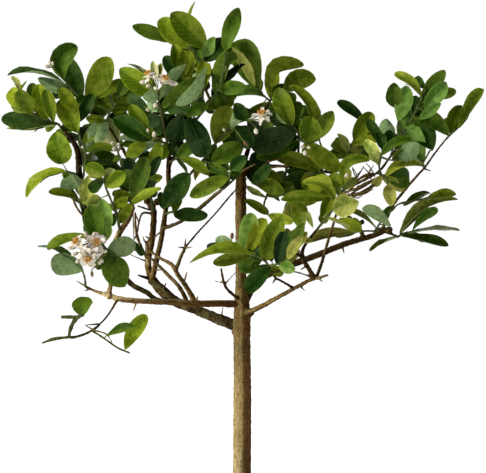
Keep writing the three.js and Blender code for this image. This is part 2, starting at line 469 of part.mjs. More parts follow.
// The place of a point that the photograph sees at a column and row, at a depth behind the trunk
function seen(column, row, depth) {
  const spread = (viewDistance + depth) / viewDistance;
  return new THREE.Vector3(
    viewAcross + (column - photoWidth / 2) * pixel * spread,
    depth,
    viewHeight + (photoHeight / 2 - row) * pixel * spread,
  );
}

const placeOf = (point) => seen(point[0], point[1], point[2]);

// The point of a list of shoots or limbs nearest to a column and row, as column, row, depth, radius, and no
// nearer to the far end of a stretch than an inset
function axisPoint(paths, column, row, inset = 0) {
  let best = null;
  let bestDistance = Infinity;
  for (const path of paths)
    for (let i = 1; i < path.length; i++) {
      const [a, b] = [path[i - 1], path[i]];
      const run = [b[0] - a[0], b[1] - a[1]];
      const share = ((column - a[0]) * run[0] + (row - a[1]) * run[1]) / (run[0] ** 2 + run[1] ** 2);
      const t = Math.max(0, Math.min(1 - inset / (Math.hypot(...run) * pixel), share));
      const point = a.map((value, k) => value + (b[k] - value) * t);
      const distance = Math.hypot(point[0] - column, point[1] - row);
      if (distance < bestDistance) {
        bestDistance = distance;
        best = point;
      }
    }
  return best;
}

// Solids
function solid(geometry) {
  geometry.deleteAttribute("normal");
  geometry.deleteAttribute("uv");
  const merged = mergeVertices(geometry, 1e-4);
  return new wasm.Manifold(
    new wasm.Mesh({
      numProp: 3,
      vertProperties: new Float32Array(merged.attributes.position.array),
      triVerts: new Uint32Array(merged.index.array),
    }),
  );
}

function geometryOf(made) {
  const { vertProperties, triVerts } = made.getMesh();
  return new THREE.BufferGeometry()
    .setAttribute("position", new THREE.BufferAttribute(new Float32Array(vertProperties), 3))
    .setIndex(new THREE.BufferAttribute(new Uint32Array(triVerts), 1));
}

const union = (solids) => solids.reduce((sum, one) => sum.add(one));

// A round limb through the places, with the radius at each: a cylinder with a ring of vertices at each
// place
function limb(places, radii, sides) {
  const last = places.length - 1;
  const runs = places.slice(1).map((place, i) => place.clone().sub(places[i]).normalize());
  const tangents = places.map((_, i) =>
    runs[Math.max(0, i - 1)].clone().add(runs[Math.min(last - 1, i)]).normalize(),
  );
  const across = new THREE.Vector3(0.31, 0.83, 0.46);
  const frames = tangents.map((tangent) => {
    across.addScaledVector(tangent, -across.dot(tangent)).normalize();
    return [across.clone(), new THREE.Vector3().crossVectors(across, tangent)];
  });
  const geometry = new THREE.CylinderGeometry(1, 1, 1, sides, last);
  const position = geometry.attributes.position;
  for (let i = 0; i < position.count; i++) {
    const ring = Math.round((position.getY(i) + 0.5) * last);
    const place = places[ring]
      .clone()
      .addScaledVector(frames[ring][0], position.getX(i) * radii[ring])
      .addScaledVector(frames[ring][1], position.getZ(i) * radii[ring]);
    position.setXYZ(i, place.x, place.y, place.z);
  }
  return solid(geometry);
}

// A thin blade: a sphere of three sides whose rings are set along the rib, with a margin on either side and
// the keel under it
const marginSigns = [-1, 1, 0];
function blade(start, rings, end) {
  const bands = rings.length + 1;
  const geometry = new THREE.SphereGeometry(1, 3, bands);
  const position = geometry.attributes.position;
  const columns = 4;
  for (let i = 0; i < position.count; i++) {
    const level = Math.floor(i / columns);
    let place = level === 0 ? start : end;
    if (level > 0 && level < bands) {
      const { rib, side, normal, breadth, thickness, lift } = rings[level - 1];
      const margin = marginSigns[(i % columns) % 3];
      place = rib
        .clone()
        .addScaledVector(side, margin * breadth)
        .addScaledVector(normal, margin === 0 ? -thickness : lift + thickness / 2);
    }
    position.setXYZ(i, place.x, place.y, place.z);
  }
  return solid(geometry);
}

// The frame of a leaf: foot on the shoot, base of the blade, tip, rib, and the way its upper face looks
const towardsViewer = new THREE.Vector3(0, -1, 0);
function leafFrame(foot, row, lean) {
  const [baseColumn, baseRow, tipColumn, tipRow, breadth, tone, bow = 0] = row;
  const base = seen(baseColumn, baseRow, foot.y + 0.15 * lean);
  const tip = seen(tipColumn, tipRow, foot.y + lean);
  const along = tip.clone().sub(base);
  const length = along.length();
  along.normalize();
  const facing = towardsViewer.clone().addScaledVector(along, -towardsViewer.dot(along)).normalize();
  const upwards = new THREE.Vector3().crossVectors(along, facing);
  if (upwards.z < 0) upwards.negate();
  const fullBreadth = Math.max(breadth * pixel, leafBreadthShare * length);
  const faceShare = (breadth * pixel) / fullBreadth;
  const tilt = Math.sqrt(1 - faceShare ** 2) * (tone === underside ? -1 : 1);
  const upper = facing.multiplyScalar(faceShare).addScaledVector(upwards, tilt);
  if (tone === underside) upper.negate();
  const middle = base
    .clone()
    .lerp(tip, 0.5)
    .addScaledVector(upper, 2 * leafArch * length)
    .addScaledVector(upwards, 2 * bow * pixel);
  return { foot, base, middle, tip, upper, length, breadth: fullBreadth / 2 };
}

const smallStations = [[0.55, 1]];
const middleStations = [[0.38, 1], [0.74, 0.84]];
const largeStations = [[0.3, 0.86], [0.58, 1], [0.84, 0.66]];
const smallLeaf = 22;
const largeLeaf = 52;
const shortPetiole = 4;
const footDepth = 0.3;
const footInset = 1.6;

function leafSolid({ foot, base, middle, tip, upper, length, breadth }, extra) {
  const ringAt = (rib, tangent, half, thickness) => {
    const side = new THREE.Vector3().crossVectors(upper, tangent).normalize();
    const normal = new THREE.Vector3().crossVectors(tangent, side).normalize();
    const lift = half > petioleRadius ? marginLift * half : 0;
    return { rib, side, normal, breadth: half + extra, thickness: thickness + extra, lift };
  };
  const outwards = base.clone().sub(foot);
  const petiole = outwards.length();
  const start = base.clone().lerp(middle, 0.3).sub(foot).normalize();
  const rings = petiole > shortPetiole ? [ringAt(base, start, petioleRadius, petioleRadius)] : [];
  const stations = length < smallLeaf ? smallStations : length < largeLeaf ? middleStations : largeStations;
  for (const [share, breadthShare] of stations) {
    const near = base.clone().lerp(middle, share);
    const far = middle.clone().lerp(tip, share);
    const tangent = far.clone().sub(near).normalize();
    rings.push(ringAt(near.lerp(far, share), tangent, breadth * breadthShare, ribThickness / 2));
  }
  const end = tip.clone().addScaledVector(tip.clone().sub(middle).normalize(), extra);
  return blade(foot.clone().addScaledVector(start, -footDepth), rings, end);
}

// What is placed so far, and whether a solid is clear of all of it but its own spray
const placed = [];
function place(made, owner) {
  placed.push({ made, owner, box: made.boundingBox() });
  return made;
}

const boxesMeet = (a, b) => [0, 1, 2].every((k) => a.min[k] <= b.max[k] && b.min[k] <= a.max[k]);

function isClear(made, owner, siblings) {
  const box = made.boundingBox();
  const others = placed.filter((other) => other.owner !== owner && boxesMeet(box, other.box));
  if (others.some((other) => made.intersect(other.made).volume() > 0)) return false;
  return siblings.every(
    (sibling) =>
      !boxesMeet(box, sibling.boundingBox()) || made.intersect(sibling).volume() < siblingOverlap,
  );
}

// Wood
const wood = "trunk_and_branches";
const limbPaths = {};
const woodSolids = [];
const sidesOf = (radius) => (radius > 7 ? 10 : radius > 4 ? 6 : radius > 2.4 ? 5 : radius > 1.5 ? 4 : 3);

for (const [name, parent, points] of limbs) {
  const path = points.map((point) => [...point]);
  if (parent) path[0] = [...axisPoint([limbPaths[parent]], path[0][0], path[0][1]).slice(0, 3), path[0][3]];
  limbPaths[name] = path;
  woodSolids.push(place(limb(path.map(placeOf), path.map((point) => point[3]), sidesOf(path[0][3])), wood));
}

for (const [on, [column, row], tip, radius] of thorns) {
  const foot = axisPoint([limbPaths[on]], column, row);
  woodSolids.push(place(limb([placeOf(foot), placeOf(tip)], [radius, radius * 0.35], 3), wood));
}

// A shoot on the end of a limb grows straight on from it
const straightReach = 2.5;
function shootOnEnd(points, limbPath) {
  const [before, end] = limbPath.slice(-2);
  const run = placeOf(end).distanceTo(placeOf(before));
  const beyond = (reach) => end.slice(0, 3).map((value, k) => value + ((value - before[k]) * reach) / run);
  const radius = Math.min(points[0][3], end[3]);
  return [[...beyond(seatGap), radius], [...beyond(seatGap + straightReach), radius], ...points.slice(1)];
}

// A shoot on the side of a limb starts past a stub of the wood, which reaches a little way out of the limb
const stubReach = 3.5;
const stubRoot = 0.5;
function shootOnLimb(points, on) {
  const limbPath = limbPaths[on];
  const from = axisPoint([limbPath], points[0][0], points[0][1]);
  const limbEnd = limbPath.at(-1);
  if (Math.hypot(from[0] - limbEnd[0], from[1] - limbEnd[1]) < 0.5) return shootOnEnd(points, limbPath);
  const foot = placeOf(from);
  const next = placeOf(points[1]);
  const out = next.clone().sub(foot).normalize();
  const radius = points[0][3];
  const stubEnd = foot.clone().addScaledVector(out, from[3] + stubReach);
  const stub = limb([foot, stubEnd], [radius * stubRoot, radius], 3);
  woodSolids.push(place(stub, wood));
  const share = (from[3] + stubReach + seatGap) / next.distanceTo(foot);
  const start = from.map((value, k) => value + (points[1][k] - value) * share);
  return [[...start.slice(0, 3), radius], ...points.slice(1)];
}

function shootsOf({ on, shoots }) {
  const paths = [shootOnLimb(shoots[0], on)];
  for (const points of shoots.slice(1)) {
    const from = axisPoint(paths, points[0][0], points[0][1]);
    paths.push([[...from.slice(0, 3), points[0][3]], ...points.slice(1)]);
  }
  return paths;
}

// Leaves of a spray behind the crown stand round its shoot by the golden angle
const goldenAngle = Math.PI * (3 - Math.sqrt(5));
function rearLeaves(shoot, count) {
  return Array.from({ length: count }, (_, k) => {
    const share = 0.35 + (0.65 * (k + 1)) / count;
    const at = share * (shoot.length - 1);
    const i = Math.min(shoot.length - 2, Math.floor(at));
    const [column, row] = shoot[i].map((value, j) => value + (shoot[i + 1][j] - value) * (at - i));
    const turn = k * goldenAngle;
    const reach = 27 + 5 * Math.cos(3 * turn);
    return [column, row, column + reach * Math.cos(turn), row - 9 - reach * 0.7 * Math.sin(turn), 14, 2, 0];
  });
}

const allSprays = [
  ...sprays,
  ...rearSprays.map(([name, on, shoot, count]) => ({
    name,
    on,
    shoots: [shoot],
    leaves: rearLeaves(shoot, count),
  })),
];
for (const spray of allSprays) {
  spray.paths = shootsOf(spray);
  spray.stems = spray.paths.map((path) =>
    place(limb(path.map(placeOf), path.map((point) => point[3]), 3), spray.name),
  );
}

const group = new THREE.Group();
const finish = (color, roughness) => new THREE.MeshStandardMaterial({ color, roughness, metalness: 0 });
const bark = finish("#8a7048", 0.9);
const leafGreen = finish("#4a6f14", 0.45);
const petalWhite = finish("#f2ece0", 0.6);
const stamenOrange = finish("#d98a2b", 0.7);
const budWhite = finish("#e8e2cf", 0.6);
const soilBrown = finish("#3a2b20", 1);
const glaze = finish("#3c4f55", 0.3);
function add(name, made, material) {
  const mesh = new THREE.Mesh(geometryOf(made), material);
  mesh.name = name;
  group.add(mesh);
}

// A stalk from a spray to a seat, which it meets square on
function stalk(spray, seat, facing) {
  const from = axisPoint(spray.paths, seat[0], seat[1]);
  const end = placeOf(seat);
  const places = [placeOf(from), end.clone().addScaledVector(facing, -4), end];
  spray.stems.push(place(limb(places, [1.2, 1.2, 1.2], 3), spray.name));
  return end;
}

const sprayNamed = (name) => allSprays.find((spray) => spray.name === name);
function frameOf(direction) {
  const facing = new THREE.Vector3(...direction).normalize();
  const across = new THREE.Vector3(0, 0, 1).cross(facing).normalize();
  return { facing, across, along: new THREE.Vector3().crossVectors(facing, across) };
}

const ovoid = (centre, facing, radius, length, sides, bands) => {
  const geometry = new THREE.SphereGeometry(1, sides, bands);
  geometry.scale(radius, length / 2, radius);
  const turn = new THREE.Quaternion().setFromUnitVectors(new THREE.Vector3(0, 1, 0), facing);
  geometry.applyQuaternion(turn);
  geometry.translate(centre.x, centre.y, centre.z);
  return solid(geometry);
};

// Blossoms: petals round a receptacle, and the stamens in a tuft a hair's breadth above it
const petalCount = 5;
const heartHeight = 0.9;
const petalRise = 0.25;
const petalRiseSpread = 0.3;
const petalCup = 1.2;
const marginRise = 0.9;
const receptacleFoot = 1.4;
const tuftRadii = [1.9, 2.5];
const antherRing = 2.1;
const antherRadius = 1.1;
const antherLength = 2.8;
const pistilLength = 4;
const petalStations = [[0.4, 0.86], [0.76, 1]];
const receptacleHeight = 3;
for (const [name, sprayName, column, row, depth, direction, size] of blossoms) {
  const { facing, across, along } = frameOf(direction);
  const stalkEnd = stalk(sprayNamed(sprayName), [column, row, depth], facing);
  const at = (height) => stalkEnd.clone().addScaledVector(facing, seatGap + height);
  const heart = at(heartHeight);
  const parts = [limb([at(0), at(receptacleHeight)], [receptacleFoot, receptacleRadius * size], 4)];
  for (let k = 0; k < petalCount; k++) {
    const turn = (2 * Math.PI * k) / petalCount + draw();
    const outwards = across.clone().multiplyScalar(Math.cos(turn)).addScaledVector(along, Math.sin(turn));
    const side = new THREE.Vector3().crossVectors(facing, outwards);
    const length = petalLength * size;
    const raised = petalRise + petalRiseSpread * draw();
    const tip = heart
      .clone()
      .addScaledVector(outwards, length)
      .addScaledVector(facing, (raised * length) / 2);
    const rings = petalStations.map(([share, breadthShare]) => ({
      rib: heart
        .clone()
        .lerp(tip, share)
        .addScaledVector(facing, petalCup * raised * length * share * (1 - share)),
      side,
      normal: facing,
      breadth: (petalBreadth / 2) * size * breadthShare,
      thickness: petalThickness / 2,
      lift: marginRise * breadthShare,
    }));
    parts.push(blade(heart, rings, tip));
  }
  add(name, place(union(parts), name), petalWhite);
  const crown = receptacleHeight + stamenHeight;
  const tuft = [limb([at(receptacleHeight + seatGap), at(crown)], tuftRadii, 4)];
  for (let k = 0; k < antherCount; k++) {
    const turn = (2 * Math.PI * k) / antherCount;
    const anther = at(crown)
      .addScaledVector(across, antherRing * Math.cos(turn))
      .addScaledVector(along, antherRing * Math.sin(turn));
    tuft.push(ovoid(anther, facing, antherRadius, antherLength, 3, 2));
  }
  tuft.push(ovoid(at(crown), facing, antherRadius, pistilLength, 4, 2));
  add(name.replace("blossom", "stamens"), place(union(tuft), name), stamenOrange);
}

// Buds: three on a short hub, each larger than the one before
const budCount = 3;
const budTurn = 0.4;
const hubHeight = 2.4;
const hubRadii = [1.1, 1.3];
const budSpread = 0.75;
const budStalkRadius = 0.8;
const budStalk = 3.4;
for (const [name, sprayName, column, row, depth, direction] of budClusters) {
  const { facing, across, along } = frameOf(direction);
  const stalkEnd = stalk(sprayNamed(sprayName), [column, row, depth], facing);
  const hub = stalkEnd.clone().addScaledVector(facing, seatGap);
  const parts = [limb([hub, hub.clone().addScaledVector(facing, hubHeight)], hubRadii, 4)];
  for (let k = 0; k < budCount; k++) {
    const turn = (2 * Math.PI * k) / budCount + budTurn;
    const way = facing
      .clone()
      .addScaledVector(across, budSpread * Math.cos(turn))
      .addScaledVector(along, budSpread * Math.sin(turn))
      .normalize();
    const growth = 0.75 + 0.12 * k;
    const from = hub.clone().addScaledVector(facing, 0.7 * hubHeight);
    const centre = from.clone().addScaledVector(way, budStalk + budLength * 0.7 * growth);
    parts.push(limb([from, centre], [budStalkRadius, budStalkRadius], 3));
    parts.push(ovoid(centre, way, budRadius * growth, budLength * growth, 4, 3));
  }
  add(name, place(union(parts), name), budWhite);
}

// Leaves: each leans towards or away from the viewer by what its seen length lacks of a full one, and steps
// in depth until it is clear of everything but its own spray
const leanShare = 0.75;
const leanSpread = 6;
const rearLean = 14;
for (const spray of allSprays) {
  const rear = spray.name.includes("rear");
  const grown = [];
  for (const row of spray.leaves) {
    const foot = placeOf(axisPoint(spray.paths, row[0], row[1], footInset));
    const seenLength = Math.hypot(row[2] - row[0], row[3] - row[1]) * pixel;
    const missing = Math.sqrt(Math.max(0, fullLeaf ** 2 - seenLength ** 2));
    const wish = rear ? rearLean : (draw() < 0.5 ? -1 : 1) * (leanShare * missing + leanSpread * draw());
    for (const step of depthSteps) {
      const frame = leafFrame(foot, row, wish + step);
      if (isClear(leafSolid(frame, leafClearance), spray.name, grown)) {
        grown.push(place(leafSolid(frame, 0), spray.name));
        break;
      }
    }
  }
  add(spray.name, union([...spray.stems, ...grown]), leafGreen);
}

add(wood, union(woodSolids), bark);

// Pot: a round wall with a rolled rim on a plain foot, turned in one piece
const potSides = 24;
const lathe = (profile) => {
  const points = profile.map(([radius, height]) => new THREE.Vector2(radius, height));
  const geometry = new THREE.LatheGeometry(points, potSides);
  geometry.rotateX(Math.PI / 2);
  return geometry;
};
const lipHeight = 9;
const lipReach = 5;
const footHeight = 8;
const footStep = 5;
const waistHeight = 56;
const wallFoot = potFootRadius + footStep;
const wallTop = potRimRadius - lipReach;
const wallRadiusAt = (height) => {
  const share = Math.min(1, (height - footHeight) / (potHeight - lipHeight - footHeight));
  return wallFoot + (wallTop - wallFoot) * Math.sin((Math.PI / 2) * share);
};
const outerHeights = [footHeight, 30, waistHeight, potHeight - lipHeight];
const outer = outerHeights.map((height) => [wallRadiusAt(height), height]);
const rimInner = wallTop - potWall;
const inner = [
  [rimInner, potHeight - 1], [wallRadiusAt(waistHeight) - potWall, waistHeight],
  [wallRadiusAt(potFloor) - potWall, potFloor],
];
const potProfile = [
  [0, 0], [potFootRadius, 0], [potFootRadius, footHeight - 1], ...outer,
  [potRimRadius, potHeight - lipHeight + 1], [potRimRadius, potHeight - 2], [potRimRadius - 2, potHeight],
  ...inner, [0, potFloor],
];
add("pot", solid(lathe(potProfile)), glaze);

// Soil: fills the pot, a little mounded and uneven, with a plain hole for the trunk
const soilEdge = soilTop - 8;
const edgeShare = (soilEdge - waistHeight) / (potHeight - 1 - waistHeight);
const soilRim = inner[1][0] + (rimInner - inner[1][0]) * edgeShare - seatGap;
const moundDrop = 7;
const mound = [0.97, 0.7, 0.4].map((share) => [soilRim * share, soilTop - moundDrop * share ** 2]);
const soilGeometry = lathe([
  [0, potFloor + seatGap], [inner[2][0] - seatGap, potFloor + seatGap],
  [inner[1][0] - seatGap, waistHeight],
  [soilRim, soilEdge], ...mound, [0, soilTop],
]);
const unevenness = 1.2;
const soilPosition = soilGeometry.attributes.position;
for (let i = 0; i < soilPosition.count; i++) {
  const [x, y, z] = [soilPosition.getX(i), soilPosition.getY(i), soilPosition.getZ(i)];
  const radius = Math.hypot(x, y);
  if (z > soilEdge + 0.1 && radius > 1)
    soilPosition.setZ(i, z + unevenness * Math.sin(x / 11) * Math.cos(y / 9) * Math.min(1, radius / 30));
}
const inSoil = limbPaths.trunk.slice(0, 4);
const below = [trunkColumn, inSoil[0][1] + seatGap / pixel, 0, inSoil[0][3]];
const hole = [below, ...inSoil];
const trunkHole = limb(hole.map(placeOf), hole.map((point) => point[3] + seatGap), sidesOf(inSoil[0][3]));
add("soil", solid(soilGeometry).subtract(trunkHole), soilBrown);

export default group;
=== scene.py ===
"""A lemon tree trained as a bonsai, in a round glazed pot: the looks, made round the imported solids.

The tables hold places as the photograph sees them, in its columns and rows, with depths, radii and sizes
in millimetres. Every mesh is worked out in millimetres and scaled to metres when its piece is made.
"""
import math
import random

import bmesh
import bpy
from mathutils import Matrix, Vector, kdtree, noise


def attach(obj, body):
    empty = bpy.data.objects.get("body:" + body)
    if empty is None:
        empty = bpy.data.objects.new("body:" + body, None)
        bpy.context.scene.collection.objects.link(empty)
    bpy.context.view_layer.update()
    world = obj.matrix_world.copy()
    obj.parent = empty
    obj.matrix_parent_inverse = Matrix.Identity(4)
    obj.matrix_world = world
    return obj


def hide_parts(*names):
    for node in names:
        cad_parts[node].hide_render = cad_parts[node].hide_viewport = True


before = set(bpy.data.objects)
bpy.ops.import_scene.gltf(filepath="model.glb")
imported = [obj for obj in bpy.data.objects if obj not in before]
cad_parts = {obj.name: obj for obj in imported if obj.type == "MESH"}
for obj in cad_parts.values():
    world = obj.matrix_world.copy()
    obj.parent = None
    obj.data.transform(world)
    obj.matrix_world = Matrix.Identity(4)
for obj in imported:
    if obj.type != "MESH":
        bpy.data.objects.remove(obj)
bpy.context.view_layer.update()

MM = 0.001

# Pot and soil
SOIL_SEED = 11
POT_HEIGHT = 96
POT_RIM_RADIUS = 112
POT_FOOT_RADIUS = 84
POT_WALL = 7
POT_FLOOR = 9
FOOT_HEIGHT = 8
FOOT_STEP = 5
FOOT_RING = 6
FOOT_HOLLOW = 3
LIP_HEIGHT = 9
LIP_REACH = 5
LIP_BEVEL = 2
POT_MOUTH = POT_RIM_RADIUS - LIP_REACH - POT_WALL
POT_CORNER = 1.6
WALL_STEP = 6
INNER_TOP = 56
INNER_STEP = 8
SOIL_TOP = 87
SOIL_FLOOR = 30
SOIL_EDGE = POT_MOUTH - 1.5
SOIL_RINGS = (1, 0.97, 0.9, 0.82, 0.74, 0.66, 0.58, 0.5, 0.42, 0.34, 0.26, 0.18, 0.14)
SOIL_BROWN = "#4a3626"
GRAIN_BROWNS = [SOIL_BROWN, "#6b4e35", "#8a6a4a", "#3a2a1e", "#9a8060"]
HANDFULS = 65
GRAINS_IN_HANDFUL = 40
MOUND_DROP = 7
SWELL_HEIGHT = 1.2
LUMP_SHARE = 0.9
GRAIN_SIZES = (0.8, 2.3)
SEAT_GAP = 0.3

# The photograph sees the tree level, from the front: a pixel there is this long at the trunk
PIXEL = 1.2
PHOTO_WIDTH = 486
PHOTO_HEIGHT = 473
VIEW_DISTANCE = 2200
TRUNK_COLUMN = 241.5
SOIL_ROW = 500
VIEW_HEIGHT = SOIL_TOP + (SOIL_ROW - PHOTO_HEIGHT / 2) * PIXEL
VIEW_ACROSS = (PHOTO_WIDTH / 2 - TRUNK_COLUMN) * PIXEL

# Wood
LIMB_SIDES = 16
STRAND_SIDES = 6
LINE_STEP = 3
UNALIGNED = Vector((0.31, 0.83, 0.46))
STUB_REACH = 3.5
STRAIGHT_REACH = 2.5
STUB_TAPER = (1.1, 1.15, 1.02)
THORN_STATIONS = (0, 0.4, 0.75, 1)
THORN_TAPER = (1.3, 1, 0.7, 0.25)
THORN_FOOT_TAPER = (1.3, 1, 0.8)
THORN_SIDES = 8
VOXEL = 1.15
NEAR_MARKS = 14
RELIEF_RADIUS = 7
GROOVE_DEPTH = 0.24
LUMP_HEIGHT = 0.8
LUMP_RADIUS = 5
KNOB_HEIGHT = 0.55
TRUNK_SKIN = 4
FLARE_TOP = 128
FLARE_REACH = 3.5
FLARE_LOBES = 5
# The side of the wood that gets painted shade: to the right and underneath, away from the key lamp
PAINTED_SHADE_SIDE = Vector((0.93, -0.12, -0.35))

# Leaves. One with the tone UNDERSIDE shows its underside, and those from it on are fuller.
LEAF_SEED = 20260
BEHIND_SEED = 411
LEAF_BREADTH_SHARE = 0.3
LEAF_ARCH = 0.035
LEAF_STEPS = 11
LEAF_LANES = 4
LEAF_FULLNESS = 1.12
FULLEST_AT = 0.58
PETIOLE_RADIUS = 0.85
PETIOLE_TAPER = (1.15, 0.8, 0.7, 0.5)
UNDERSIDE = 6
FOOT_INSET = 1.6
SHOOT_SIDES = 8
MERGE_REACH = 0.004
PETIOLE_GREEN = "#5d732a"
INNER_DEPTH = 16
REAR_LEAF_REACH = 27
REAR_LEAF_BREADTH = 14
REAR_LEAF_TONE = 2
YOUNG_LEAF_LENGTH = 12
YOUNG_TONES = [2, 3, 4, 8]
BEHIND_TONES = [1, 2, 2, 3]
BEHIND_LEAST_REACH = 22
BEHIND_LEAST_BREADTH = 8
BEHIND_DEPTHS = (26, 40)
BEHIND_SHARE = 0.6
TOWARDS_VIEWER = Vector((0, -1, 0))

# Blossoms and buds
FLOWER_SEED = 7
PETAL_LENGTH = 13
PETAL_BREADTH = 6.4
PETAL_COUNT = 5
PETAL_REACH = 1.1
PETAL_STEPS = 8
PETAL_LANES = 4
HEART_HEIGHT = 0.9
RECEPTACLE_HEIGHT = 3
RECEPTACLE_RADIUS = 2.4
RECEPTACLE_WAIST = (1.4, 2)
STALK_RADII = (1.1, 1, 1.3)
STALK_GREEN = "#6d7d34"
CALYX_RADIUS = 2.3
CALYX_HEIGHT = 1.9
CALYX_GREEN = "#6f8538"
STAMEN_COUNT = 22
STAMEN_HEIGHT = 5.5
FILAMENT_RADII = (0.45, 0.4, 0.25)
ANTHER_RADIUS = 0.85
ANTHER_LENGTH = 3
PISTIL_RADII = (1.5, 0.8, 0.7)
STIGMA_RADIUS = 1.15
STIGMA_LENGTH = 1.7
BUD_COUNT = 3
BUD_RADIUS = 2.1
BUD_LENGTH = 7
BUD_STALK = 3.4
BUD_STALK_RADII = (0.8, 0.7, 0.8)
BUD_STALK_GREEN = "#7d8a48"
SINGLE_STALK_RADII = (0.8, 0.7, 0.9)
SINGLE_STALK_GREEN = "#6d7a38"
BUD_POINT = 0.35
HUB_HEIGHT = 2.4
HUB_RADII = (1.1, 1.2)

GOLDEN_ANGLE = math.pi * (3 - math.sqrt(5))

